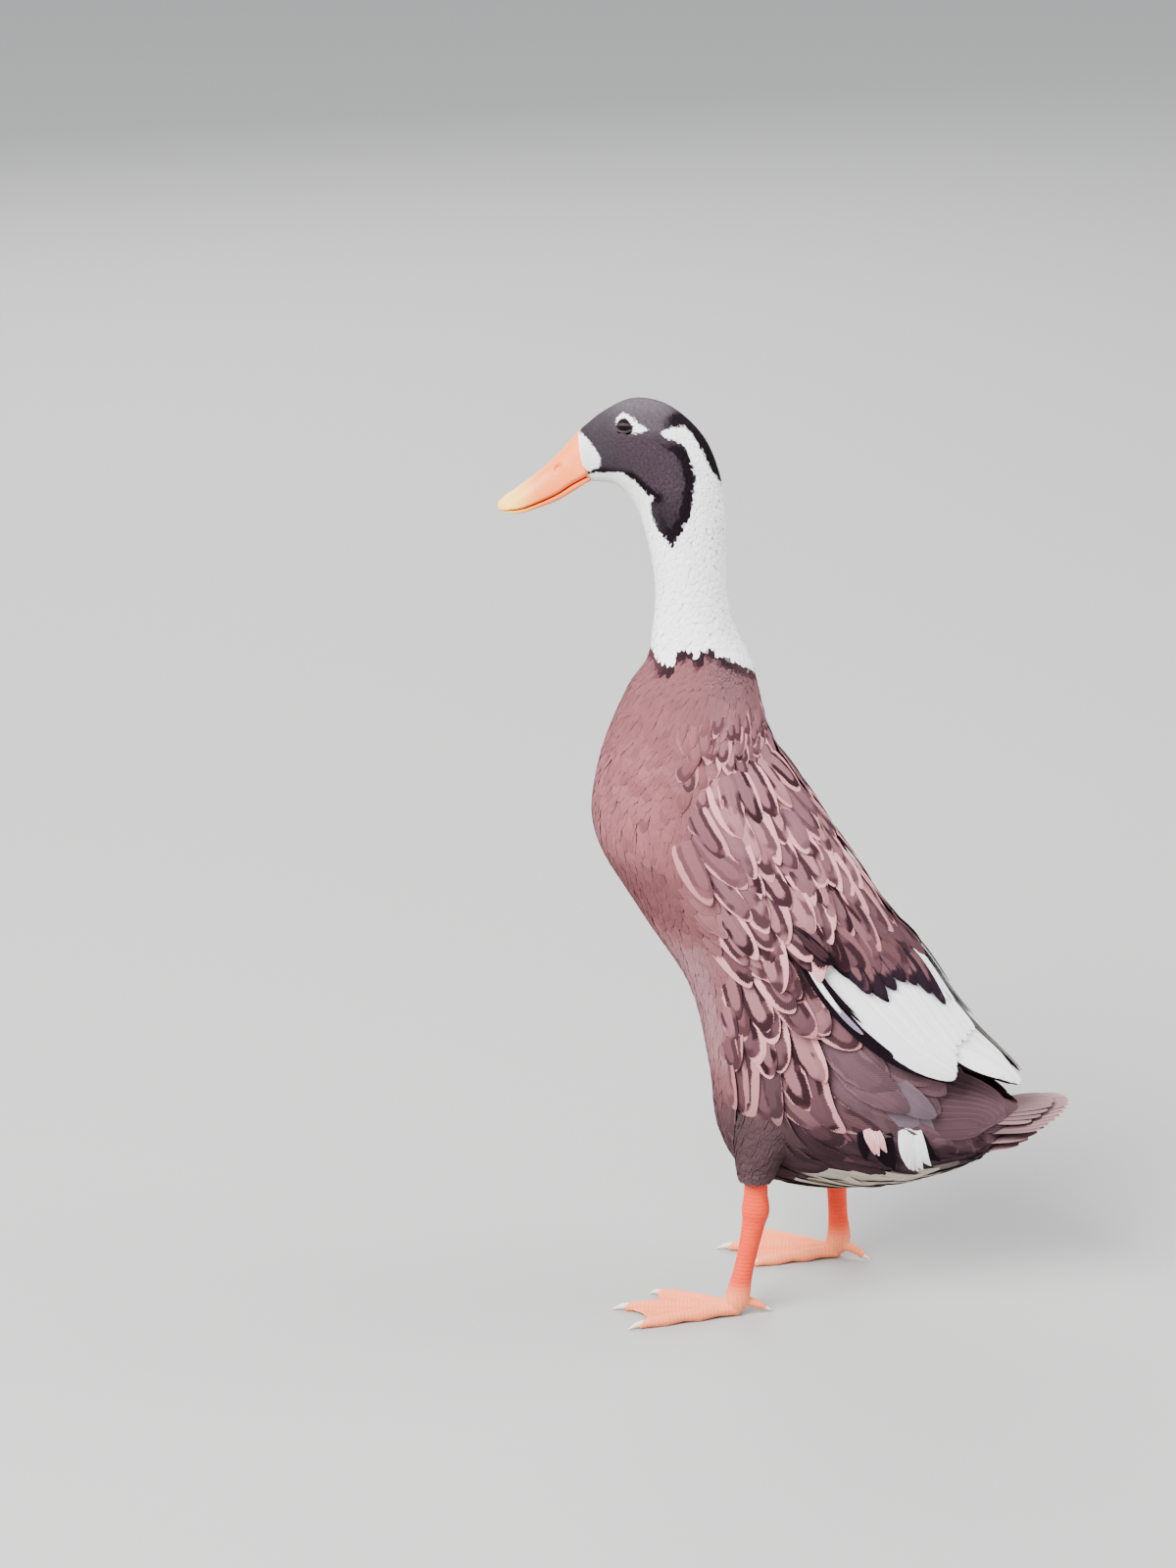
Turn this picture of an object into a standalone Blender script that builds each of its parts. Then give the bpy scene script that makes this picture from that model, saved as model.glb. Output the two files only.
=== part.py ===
"""A still, life-size indian runner duck standing upright on two webbed feet.

Metres, +Z up. The duck faces -Y and its left side is +X. The origin is on the floor, under the
middle of its bounding box. Profiles are given in millimetres and scaled once, in point().
"""

import math

import bmesh
import bpy
import numpy as np
from mathutils import Matrix, Vector

MM = 0.001
GAP = 0.3  # between touching nodes
AROUND = 28  # points round a ring of the trunk
FOOT_X = 46.0  # distance of each foot from the middle plane

# Colours of the materials
FAWN = (0.36, 0.20, 0.16)
WING_BROWN = (0.34, 0.26, 0.23)
TAIL_BROWN = (0.16, 0.11, 0.10)
CAP_BROWN = (0.07, 0.05, 0.055)
WHITE = (0.88, 0.87, 0.85)
ORANGE = (0.80, 0.22, 0.09)
BILL_YELLOW = (0.85, 0.45, 0.16)
EYE_DARK = (0.02, 0.015, 0.012)

# The trunk is lofted through stations. Each has the belly point and the back point of a section
# in the duck's middle plane, as (y, z), then the section's half width.
TAIL_ROOT = ((112, 90), (120, 131), 24)
VENT = ((72, 77), (107, 151), 38)
UNDER_RUMP = ((28, 74), (93, 177), 50)
THIGHS = ((-20, 80), (78, 203), 57)
BELLY = ((-40, 108), (64, 226), 58)
WAIST = ((-46, 150), (50, 249), 58)
KEEL = ((-59, 203), (33, 279), 58)
LOW_BREAST = ((-90, 252), (14, 310), 59)
BREAST = ((-117, 300), (-3, 337), 60)
SHOULDERS = ((-115, 343), (-12, 362), 55)
COLLAR_BASE = ((-99, 387), (-19, 393), 40)
COLLAR = ((-86, 408), (-24, 411), 30)
NECK_LOW = ((-82.5, 428), (-33, 430), 24)
NECK_MID = ((-81, 450), (-37.5, 452), 21)
NECK_UP = ((-84, 474), (-39, 480), 20)
NECK_TOP = ((-88, 490), (-40, 506), 20)
THROAT = ((-92, 502), (-44, 527), 20.5)
JAW = ((-98, 511), (-54, 548), 21)
CHEEK = ((-104, 516), (-73.5, 564.6), 21)
EYE_LEVEL = ((-110, 517.5), (-94, 568.6), 19)
LORE = ((-116, 517.5), (-112, 560.4), 15.5)
BILL_BASE = ((-121, 518), (-127, 548), 12)

TORSO = (TAIL_ROOT, VENT, UNDER_RUMP, THIGHS, BELLY, WAIST, KEEL, LOW_BREAST, BREAST, SHOULDERS,
         COLLAR_BASE, COLLAR)
TRUNK = TORSO + (NECK_LOW, NECK_MID, NECK_UP, NECK_TOP, THROAT, JAW, CHEEK, EYE_LEVEL, LORE, BILL_BASE)
NECK_FROM = TRUNK.index(COLLAR)
HEAD_FROM = TRUNK.index(NECK_TOP)

# The mantle is the outer surface on which the folded wings lie, from the shoulder to the wing tips.
MANTLE = (
    ((-115, 343), (-9, 362), 58),
    ((-117, 298), (2, 339), 63),
    ((-90, 252), (20, 311), 65),
    ((-59, 203), (39, 283), 65),
    ((-46, 150), (60, 252), 65),
    ((-35, 110), (82, 228), 64),
    ((0, 95), (101, 200), 59),
    ((50, 95), (120, 178), 48),
    ((88, 108), (135, 163), 35),
    ((112, 120), (149, 149), 22),
)


def clear_scene():
    for old in list(bpy.data.objects):
        bpy.data.objects.remove(old, do_unlink=True)


def material(name, colour, roughness):
    made = bpy.data.materials.new(name)
    made.use_nodes = True
    shader = made.node_tree.nodes["Principled BSDF"]
    shader.inputs["Base Color"].default_value = (*colour, 1)
    shader.inputs["Roughness"].default_value = roughness
    return made


def point(x, y, z):
    """A place given in millimetres."""
    return Vector((x, y, z)) * MM


def blend(keys, at):
    """A smooth curve through evenly numbered keys (Catmull-Rom), read at a number between them."""
    keys = np.asarray(keys, float)
    i = int(np.clip(math.floor(at), 0, len(keys) - 2))
    t = at - i
    a, b = keys[i], keys[i + 1]
    before = keys[i - 1] if i else 2 * a - b
    after = keys[i + 2] if i + 2 < len(keys) else 2 * b - a
    da, db = (b - before) / 2, (after - a) / 2
    return ((2 * t**3 - 3 * t**2 + 1) * a + (t**3 - 2 * t**2 + t) * da
            + (3 * t**2 - 2 * t**3) * b + (t**3 - t**2) * db)


def section(stations, at):
    """(centre, direction to the back, half depth, half width) of the loft at a station number."""
    rows = [(*low, *high, wide) for low, high, wide in stations]
    ly, lz, hy, hz, wide = blend(rows, at)
    centre = np.array([0, (ly + hy) / 2, (lz + hz) / 2])
    reach = np.array([0, hy - ly, hz - lz]) / 2
    depth = np.linalg.norm(reach)
    return centre, reach / depth, depth, wide


def on_loft(stations, at, turn, lift=0.0):
    """A place on the loft: turn is the angle from the back towards the duck's left, in radians."""
    centre, back, depth, wide = section(stations, at)
    return (centre + back * (depth + lift) * math.cos(turn)
            + np.array([1, 0, 0]) * (wide + lift) * math.sin(turn))


def object_of(name, vertices, faces, finish=None):
    """A mesh object from places in millimetres, with its faces turned outwards."""
    mesh = bpy.data.meshes.new(name)
    mesh.from_pydata([point(*v) for v in vertices], [], faces)
    work = bmesh.new()
    work.from_mesh(mesh)
    bmesh.ops.recalc_face_normals(work, faces=work.faces)
    work.to_mesh(mesh)
    work.free()
    mesh.shade_smooth()
    made = bpy.data.objects.new(name, mesh)
    bpy.context.scene.collection.objects.link(made)
    if finish:
        mesh.materials.append(finish)
    return made


def skin_of(name, rings, finish=None):
    """A closed body from rings of equal length, with a flat cap at each end."""
    count = len(rings[0])
    vertices = [v for ring in rings for v in ring]
    faces = []
    for r in range(len(rings) - 1):
        for k in range(count):
            a, b = r * count + k, r * count + (k + 1) % count
            faces.append((a, b, b + count, a + count))
    faces.append(tuple(range(count)))
    faces.append(tuple(range(len(vertices) - count, len(vertices))))
    return object_of(name, vertices, faces, finish)


def ring_of(stations, at, lift=0.0, count=AROUND):
    return [on_loft(stations, at, 2 * math.pi * k / count, lift) for k in range(count)]


def trunk_part(name, first, last, steps, finish=None, lift=0.0):
    """A stretch of the trunk, shortened by half the gap at each end that meets a neighbour."""
    ats = np.linspace(first, last, steps)
    rings = [ring_of(TRUNK, at, lift) for at in ats]
    for end, inner in ((0, 1), (-1, -2)):
        here, _, _, _ = section(TRUNK, ats[end])
        near, _, _, _ = section(TRUNK, ats[inner])
        inwards = (near - here) / np.linalg.norm(near - here)
        rings[end] = [v + inwards * (GAP / 2) for v in rings[end]]
    return skin_of(name, rings, finish)


def largest_piece(thing):
    """Keeps only the largest closed surface of a mesh."""
    work = bmesh.new()
    work.from_mesh(thing.data)
    work.faces.ensure_lookup_table()
    left = set(work.faces)
    shells = []
    while left:
        shell, edge = set(), [left.pop()]
        while edge:
            face = edge.pop()
            shell.add(face)
            for e in face.edges:
                for other in e.link_faces:
                    if other in left:
                        left.remove(other)
                        edge.append(other)
        shells.append(shell)
    keep = max(shells, key=lambda shell: sum(f.calc_area() for f in shell))
    drop = [f for shell in shells if shell is not keep for f in shell]
    bmesh.ops.delete(work, geom=drop, context="FACES")
    loose = [v for v in work.verts if not v.link_faces]
    bmesh.ops.delete(work, geom=loose, context="VERTS")
    work.to_mesh(thing.data)
    work.free()


def combine(base, others, operation, solver="MANIFOLD"):
    """Joins others to base, or cuts them from it, then removes them."""
    group = bpy.data.collections.new("pieces")
    bpy.context.scene.collection.children.link(group)
    for other in others:
        group.objects.link(other)
        bpy.context.scene.collection.objects.unlink(other)
    change = base.modifiers.new("combine", "BOOLEAN")
    change.operation = operation
    change.solver = solver
    change.operand_type = "COLLECTION"
    change.collection = group
    graph = bpy.context.evaluated_depsgraph_get()
    mesh = bpy.data.meshes.new_from_object(base.evaluated_get(graph))
    base.modifiers.clear()
    old = base.data
    base.data = mesh
    mesh.name = base.name
    bpy.data.meshes.remove(old)
    for other in list(group.objects):
        bpy.data.objects.remove(other, do_unlink=True)
    bpy.data.collections.remove(group)
    largest_piece(base)
    base.data.shade_smooth()
    return base


def mirrored(source, name, finish):
    """The same shape on the other side of the duck, with its faces turned back outwards."""
    mesh = source.data.copy()
    mesh.transform(Matrix.Scale(-1, 4, Vector((1, 0, 0))))
    mesh.flip_normals()
    mesh.materials.clear()
    mesh.materials.append(finish)
    made = bpy.data.objects.new(name, mesh)
    bpy.context.scene.collection.objects.link(made)
    return made


def ball(name, centre, radii, segments=20, rings=12, tilt=0.0):
    """An ellipsoid in millimetres, tilted about the X axis by an angle in degrees."""
    work = bmesh.new()
    bmesh.ops.create_uvsphere(work, u_segments=segments, v_segments=rings, radius=MM)
    turn = Matrix.Rotation(math.radians(tilt), 4, "X")
    place = Matrix.Translation(point(*centre)) @ turn @ Matrix.Diagonal((*radii, 1))
    bmesh.ops.transform(work, matrix=place, verts=work.verts)
    mesh = bpy.data.meshes.new(name)
    work.to_mesh(mesh)
    work.free()
    made = bpy.data.objects.new(name, mesh)
    bpy.context.scene.collection.objects.link(made)
    return made


def tube(name, places, radii, count=10, squash=1.0):
    """A limb of round sections along places, closed by small flat caps. Squash narrows it in X."""
    places = [np.asarray(p, float) for p in places]
    rings = []
    for i, (here, radius) in enumerate(zip(places, radii)):
        along = places[min(i + 1, len(places) - 1)] - places[max(i - 1, 0)]
        along /= np.linalg.norm(along)
        side = np.cross(along, [0, 0, 1.0] if abs(along[2]) < 0.8 else [0, 1.0, 0])
        side /= np.linalg.norm(side)
        up = np.cross(side, along)
        rings.append([
            here + (side * math.cos(a) * squash + up * math.sin(a)) * radius
            for a in (2 * math.pi * k / count for k in range(count))
        ])
    return skin_of(name, rings)


def vane(name, place, widths, thick, tilt=0.0, sway=0.0):
    """A feather as a thin closed blade of four-cornered sections, crowned along its middle.

    place(t) gives the middle line and the outward direction at t from 0 (root) to 1 (tip). The
    blade turns by tilt about its length, so that neighbours overlap like tiles.
    """
    steps = len(widths) - 1
    rings = []
    for i, half in enumerate(widths):
        t = i / steps
        here, out = place(t)
        ahead, _ = place(min(t + 0.02, 1.0))
        behind, _ = place(max(t - 0.02, 0.0))
        along = (ahead - behind) / np.linalg.norm(ahead - behind)
        side = np.cross(out, along)
        side /= np.linalg.norm(side)
        out = np.cross(along, side)
        turn = math.radians(tilt)
        side, out = side * math.cos(turn) + out * math.sin(turn), out * math.cos(turn) - side * math.sin(turn)
        here = here + side * sway * half
        crown = 0.5 * thick + 0.06 * half
        rings.append([here - side * half, here + out * crown, here + side * half,
                      here + side * half - out * thick, here - out * (thick - 0.03 * half),
                      here - side * half - out * thick])
    return skin_of(name, rings)


VANE_SHAPE = (0.55, 1.0, 0.92, 0.42)  # half widths from root to tip, as shares of the widest
ROUND_SHAPE = (0.6, 1.0, 0.95, 0.55)


def mantle_place(start, end, lift_root, lift_tip):
    """A line over the mantle between two (station, degrees from the back) places, for vane()."""
    def place(t):
        at = start[0] + (end[0] - start[0]) * t
        turn = math.radians(start[1] + (end[1] - start[1]) * t)
        lift = lift_root + (lift_tip - lift_root) * t
        here = on_loft(MANTLE, at, turn, lift)
        outer = on_loft(MANTLE, at, turn, lift + 1.0)
        ahead = on_loft(MANTLE, at + 0.05, turn, lift)
        around = on_loft(MANTLE, at, turn + 0.05, lift)
        out = np.cross(around - here, ahead - here)
        out /= np.linalg.norm(out)
        if out @ (outer - here) < 0:
            out = -out
        return here, out
    return place


def tier(name, count, roots, tips, half, lifts, tilt, shape=VANE_SHAPE, thick=0.8):
    """A row of vanes whose roots and tips run from one mantle place to another."""
    made = []
    for k in range(count):
        share = k / (count - 1)
        start = [roots[0][i] + (roots[1][i] - roots[0][i]) * share for i in (0, 1)]
        end = [tips[0][i] + (tips[1][i] - tips[0][i]) * share for i in (0, 1)]
        wide = half[0] + (half[1] - half[0]) * share
        place = mantle_place(start, end, lifts[0], lifts[1])
        made.append(vane(f"{name}_{k}", place, [wide * s for s in shape], thick, tilt))
    return made


WING_FRONT, WING_REAR = 0.1, 6.7  # mantle stations where the arm of the wing begins and ends


def wing_core():
    """The folded arm under the feathers: a pad over the mantle, deep at its middle."""
    rows, columns = 14, 9
    outer, inner = [], []
    for i in range(rows):
        share = i / (rows - 1)
        at = WING_FRONT + (WING_REAR - WING_FRONT) * share
        top = blend([(30,), (12,), (8,), (7,), (7,), (7,), (9,)], share * 6)[0]
        low = blend([(74,), (98,), (98,), (88,), (78,), (71,), (64,)], share * 6)[0]
        for j in range(columns):
            across = j / (columns - 1)
            turn = math.radians(top + (low - top) * across)
            edge = max(abs(2 * share - 1), abs(2 * across - 1)) ** 4
            outer.append(on_loft(MANTLE, at, turn, -1.4 - 9 * edge))
            inner.append(on_loft(MANTLE, at, turn, -14.0))
    faces = []
    base = rows * columns
    for i in range(rows - 1):
        for j in range(columns - 1):
            a = i * columns + j
            faces.append((a, a + 1, a + columns + 1, a + columns))
            faces.append((base + a, base + a + columns, base + a + columns + 1, base + a + 1))
    rim = ([j for j in range(columns)] + [i * columns + columns - 1 for i in range(1, rows)]
           + [(rows - 1) * columns + j for j in range(columns - 2, -1, -1)]
           + [i * columns for i in range(rows - 2, 0, -1)])
    for a, b in zip(rim, rim[1:] + rim[:1]):
        faces.append((a, b, base + b, base + a))
    return object_of("wing_core", outer + inner, faces)


def wing_left(finish):
    """Folded left wing: primaries lowest, then secondaries, coverts, tertials and scapulars."""
    wing = wing_core()
    wing.name = "wing_left"
    pieces = []
    pieces += tier("primary", 6, ((5.3, 58), (5.6, 34)), ((8.1, 60), (9.0, 24)), (6.5, 5.0),
                   (-3.0, -0.6), 7)
    pieces += tier("secondary", 8, ((3.7, 62), (4.3, 24)), ((7.7, 60), (6.7, 17)), (9.0, 7.5),
                   (-3.0, 1.0), 7)
    pieces += tier("greater_covert", 7, ((2.6, 76), (3.6, 30)), ((4.4, 70), (5.1, 26)), (10.0, 7.5),
                   (-3.0, 2.2), 7, ROUND_SHAPE)
    pieces += tier("tertial", 4, ((3.4, 40), (3.6, 16)), ((5.7, 38), (6.5, 9)), (9.0, 7.0),
                   (-3.5, 2.6), 7)
    pieces += tier("scapular", 6, ((1.5, 56), (1.6, 20)), ((3.4, 54), (4.3, 11)), (10.5, 7.5),
                   (-7.0, 3.0), 4, ROUND_SHAPE)
    combine(wing, pieces, "UNION")
    hollow = trunk_part("hollow", 0, 10, 34, lift=GAP + 0.1)
    combine(wing, [hollow], "DIFFERENCE")
    wing.data.materials.clear()
    wing.data.materials.append(finish)
    return wing


TAIL_REACH = 59.9  # length of the middle tail feather past the torso
TAIL_SLOPE = 12.0  # degrees above level


def tail(finish):
    """The tail: a flat core behind the torso, with a fan of tail feathers and rows of coverts."""
    centre, back, depth, wide = section(TRUNK, 0)
    rear = np.array([0, back[2], -back[1]])
    rings = []
    for along, scale, width in ((0, 0.96, 0.97), (8, 0.80, 0.98), (17, 0.55, 0.97), (27, 0.26, 0.86)):
        middle = centre + rear * (GAP / 2 + along) + np.array([0, 0, 0.2 * along])
        rings.append([
            middle + back * depth * scale * math.cos(a) + np.array([wide * width * math.sin(a), 0, 0])
            for a in (2 * math.pi * k / AROUND for k in range(AROUND))
        ])
    made = skin_of("tail", rings)
    pieces = []

    def fan(name, count, spread, root, reach, height, rise, half, tilt, shape):
        for k in range(count):
            side = 2 * k / (count - 1) - 1
            angle = math.radians(spread * side)
            length = reach * (1 - 0.20 * side * side)
            start = centre + rear * root + np.array([side * half * 1.6, 0, height - 3.0 * side * side])
            heading = np.array([math.sin(angle), math.cos(angle), rise - 0.08 * side * side])

            def place(t, start=start, heading=heading, length=length, side=side):
                out = np.array([0.22 * side, 0, 1.0 if name != "under_covert" else -1.0])
                return start + heading * length * t, out / np.linalg.norm(out)

            lean = tilt * (1 if side > 0 else -1 if side < 0 else 0)
            pieces.append(vane(f"{name}_{k}", place, [half * s for s in shape], 0.8, lean))

    slope = math.tan(math.radians(TAIL_SLOPE))
    fan("rectrix", 11, 23, 6, TAIL_REACH - 6, 1.0, slope, 8.0, -8, VANE_SHAPE)
    fan("upper_covert", 7, 17, 3, 44, 9.5, slope - 0.13, 8.0, -7, ROUND_SHAPE)
    fan("under_covert", 5, 16, 3, 42, -9.5, slope + 0.15, 8.5, 7, ROUND_SHAPE)
    combine(made, pieces, "UNION")
    made.data.materials.clear()
    made.data.materials.append(finish)
    return made


THIGH_END = 92.0  # height where feathers give way to the bare leg
LEG_END = 16.0  # height of the cut between leg and foot
LEFT_HOCK_Y, RIGHT_HOCK_Y = -13.0, 30.0
LEFT_ANKLE_Y, RIGHT_ANKLE_Y = -23.0, 33.0


def thigh(name, x, knee_y):
    """A feathered thigh that ends in a flat, level face just above the hock."""
    inwards = math.copysign(1, x)
    places = [(x - 30 * inwards, knee_y + 14, 152), (x - 15 * inwards, knee_y + 9, 131),
              (x - 7 * inwards, knee_y + 5, 116), (x - 1 * inwards, knee_y + 1, 103), (x, knee_y, THIGH_END)]
    made = tube(name, places, (24, 23, 19, 14, 10.5), 14)
    for k in range(14):
        made.data.vertices[4 * 14 + k].co.z = THIGH_END * MM
    return made


def leg(name, x, hock_y, ankle_y, finish):
    """Hock and tarsus: bare skin, thickest at the hock, cut level at both ends."""
    lean = ankle_y - hock_y
    places = [(x, hock_y, THIGH_END - GAP), (x, hock_y, 81), (x, hock_y, 71), (x, hock_y + lean * 0.12, 62),
              (x, hock_y + lean * 0.4, 46), (x, hock_y + lean * 0.75, 28), (x, ankle_y, LEG_END)]
    made = tube(name, places, (7.0, 7.4, 8.6, 7.2, 6.2, 6.2, 7.4), 12, 0.82)
    for ring, level in ((0, THIGH_END - GAP), (len(places) - 1, LEG_END)):
        for k in range(12):
            made.data.vertices[ring * 12 + k].co.z = level * MM
    made.data.materials.append(finish)
    return made


TOES = (  # name, length, degrees towards the outside, radius at the root
    ("inner", 62, -22, 4.6),
    ("middle", 78, 2, 5.0),
    ("outer", 72, 25, 4.6),
)
TOE_SHAPE = (  # share of the length, share of the radius, height: pads, knuckles and the claw
    (0.0, 1.0, 4.6),
    (0.2, 0.78, 4.6),
    (0.36, 0.95, 3.9),
    (0.5, 0.72, 4.3),
    (0.66, 0.84, 3.4),
    (0.82, 0.62, 3.2),
    (0.92, 0.44, 1.9),
    (1.0, 0.12, 0.9),
)
WEB_THICK = 1.4


def toe_line(length, degrees, x, y, side, share):
    """A place along a toe, counted by the share of its length."""
    angle = math.radians(degrees * side)
    out = length * share
    height = np.interp(share, [row[0] for row in TOE_SHAPE], [row[2] for row in TOE_SHAPE])
    return np.array([x + math.sin(angle) * out, y - math.cos(angle) * out, height])


def foot(name, x, ankle_y, finish):
    """A webbed foot: ankle, three front toes with claws, the web between them and a raised hind toe."""
    side = math.copysign(1, x)
    ankle = tube(name, [(x, ankle_y, LEG_END - GAP), (x, ankle_y, 12), (x, ankle_y - 2, 6), (x, ankle_y - 4, -2)],
                 (7.4, 8.0, 8.4, 7.4), 12, 0.9)
    for k in range(12):
        ankle.data.vertices[k].co.z = (LEG_END - GAP) * MM
    pieces = []
    for toe, length, degrees, radius in TOES:
        places = [toe_line(length, degrees, x, ankle_y, side, row[0]) for row in TOE_SHAPE]
        pieces.append(tube(f"toe_{toe}", places, [radius * row[1] for row in TOE_SHAPE], 8))
    for (_, la, da, _), (_, lb, db, _) in zip(TOES, TOES[1:]):
        pieces.append(web(la, da, lb, db, x, ankle_y, side))
    hind = [(x - 1.5 * side, ankle_y + 4, 9.5), (x - 3 * side, ankle_y + 11, 6.6), (x - 4.5 * side, ankle_y + 17, 3.4),
            (x - 5 * side, ankle_y + 20, 1.4)]
    pieces.append(tube("hind_toe", hind, (3.4, 2.7, 2.0, 0.6), 8))
    combine(ankle, pieces, "UNION")
    floor = box_of("floor", (x - 90, ankle_y - 110, -40), (x + 90, ankle_y + 60, 0))
    combine(ankle, [floor], "DIFFERENCE")
    ankle.data.materials.clear()
    ankle.data.materials.append(finish)
    return ankle


def web(la, da, lb, db, x, y, side):
    """The skin between two toes, whose free edge curves in between the claws."""
    rows, columns = 5, 5
    top, bottom = [], []
    for i in range(rows):
        share = 0.12 + 0.76 * i / (rows - 1)
        for j in range(columns):
            across = j / (columns - 1)
            inset = 1 - 0.16 * share * math.sin(math.pi * across)
            a = toe_line(la, da, x, y, side, share * inset)
            b = toe_line(lb, db, x, y, side, share * inset)
            here = a + (b - a) * across
            sag = 1.6 * math.sin(math.pi * across)
            middle = max(here[2] - sag, WEB_THICK / 2 + 0.2)
            top.append((here[0], here[1], middle + WEB_THICK / 2))
            bottom.append((here[0], here[1], middle - WEB_THICK / 2))
    faces = []
    base = rows * columns
    for i in range(rows - 1):
        for j in range(columns - 1):
            p = i * columns + j
            q = p + columns
            faces += [(p, p + 1, q + 1), (p, q + 1, q)]
            faces += [(base + p, base + q + 1, base + p + 1), (base + p, base + q, base + q + 1)]
    rim = ([j for j in range(columns)] + [i * columns + columns - 1 for i in range(1, rows)]
           + [(rows - 1) * columns + j for j in range(columns - 2, -1, -1)]
           + [i * columns for i in range(rows - 2, 0, -1)])
    for p, q in zip(rim, rim[1:] + rim[:1]):
        faces.append((p, q, base + q, base + p))
    return object_of("web", top + bottom, faces)


def box_of(name, low, high):
    """A plain block between two corners, in millimetres."""
    work = bmesh.new()
    bmesh.ops.create_cube(work, size=MM)
    size = [h - l for l, h in zip(low, high)]
    middle = [(h + l) / 2 for l, h in zip(low, high)]
    bmesh.ops.transform(work, matrix=Matrix.Translation(point(*middle)) @ Matrix.Diagonal((*size, 1)),
                        verts=work.verts)
    mesh = bpy.data.meshes.new(name)
    work.to_mesh(mesh)
    work.free()
    made = bpy.data.objects.new(name, mesh)
    bpy.context.scene.collection.objects.link(made)
    return made


EYE = (12.2, -98.0, 554.6)  # centre of the left eyeball
EYE_RADIUS = 5.6
LID_RADIUS = 4.9  # of the opening between the lids


def eye(name, side, finish):
    """The eyeball, of which the front shows between the lids."""
    made = ball(name, (EYE[0] * side, EYE[1], EYE[2]), (EYE_RADIUS,) * 3, 16, 10)
    made.data.shade_smooth()
    made.data.materials.append(finish)
    return made


def lid_ring(side):
    """Both lids as one thin ring of skin round the eye, a little wider than high."""
    count = 16
    rings = []
    for k in range(count):
        a = 2 * math.pi * k / count
        high, wide = math.sin(a), math.cos(a)
        middle = np.array([(EYE[0] + 2.9) * side, EYE[1] + wide * LID_RADIUS * 1.12, EYE[2] + high * LID_RADIUS])
        spoke = np.array([0, wide, high])
        out = np.array([side, 0, 0.0])
        rings.append([middle + spoke * 1.5 * math.cos(b) + out * 1.5 * math.sin(b)
                      for b in (2 * math.pi * j / 6 for j in range(6))])
    vertices = [v for r in rings for v in r]
    faces = []
    for k in range(count):
        for j in range(6):
            a, b = k * 6 + j, k * 6 + (j + 1) % 6
            c, d = ((k + 1) % count) * 6 + (j + 1) % 6, ((k + 1) % count) * 6 + j
            faces.append((a, b, c, d))
    return object_of("lid_ring", vertices, faces)


def head(finish):
    """The head from the top of the neck to the bill, with lids and an eye socket on each side."""
    made = trunk_part("head", HEAD_FROM, len(TRUNK) - 1, 18)
    combine(made, [lid_ring(1), lid_ring(-1)], "UNION")
    sockets = [ball("socket", (EYE[0] * s, EYE[1], EYE[2]), (EYE_RADIUS + GAP,) * 3, 16, 10) for s in (1, -1)]
    combine(made, sockets, "DIFFERENCE")
    made.data.materials.clear()
    made.data.materials.append(finish)
    return made


# The bill in sections from its base to its tip: top point, point at the mouth line, then the
# half width there, all in the middle plane as (y, z).
BILL_TOP = ((-127, 548), (-134, 539.5), (-143, 529.5), (-153, 520.5), (-163, 512.5), (-171, 506), (-175.2, 502.2))
BILL_MOUTH = ((-122, 522.5), (-130.5, 518), (-139, 512.5), (-149, 507.5), (-160, 502.5), (-169.5, 499.6), (-174.6, 498.8))
BILL_FLOOR = ((-121.2, 518.2), (-129, 512.5), (-137.5, 507), (-148, 502.4), (-159, 498.6), (-167, 497.6), (-170, 498.2))
BILL_WIDE = (11.6, 10.4, 10.0, 10.6, 11.4, 9.8, 4.5)


def bill_upper(finish):
    """The upper half of the bill: high and narrow at the forehead, flat and spatulate at its tip."""
    rings = []
    for i in range(13):
        at = i / 12 * 6
        top = np.array([0, *blend(BILL_TOP, at)])
        low = np.array([0, *blend(BILL_MOUTH, at)])
        wide = blend([(w,) for w in BILL_WIDE], at)[0]
        flat = min(1.0, at / 3.5)
        ring = []
        for k in range(18):
            a = 2 * math.pi * k / 18
            height, across = math.cos(a), math.sin(a)
            if height > 0:
                height = height ** (1.0 + 0.55 * (1 - flat))
                across = math.copysign(abs(across) ** (0.85 - 0.15 * flat + 0.3 * (1 - flat)), across)
                ring.append(low + (top - low) * (0.16 + 0.84 * height) + np.array([wide * across, 0, 0]))
            else:
                across = math.copysign(abs(across) ** 0.6, across)
                ring.append(low + (top - low) * 0.16 * (1 + height) + np.array([wide * across, 0, 0]))
        rings.append(ring)
    forward = np.array([0, -0.95, -0.3])
    rings[0] = [v + forward * GAP for v in rings[0]]
    made = skin_of("bill_upper", rings)
    nail = ball("nail", (0, -172.2, 502.2), (4.6, 4.2, 2.6), 12, 8, 35)
    nostrils = [ball("nostril", (6.4 * s, -138.6, 526.5), (2.6, 3.4, 1.4), 10, 6, 42) for s in (1, -1)]
    combine(made, [nail], "UNION")
    combine(made, nostrils, "DIFFERENCE")
    made.data.materials.clear()
    made.data.materials.append(finish)
    return made


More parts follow.
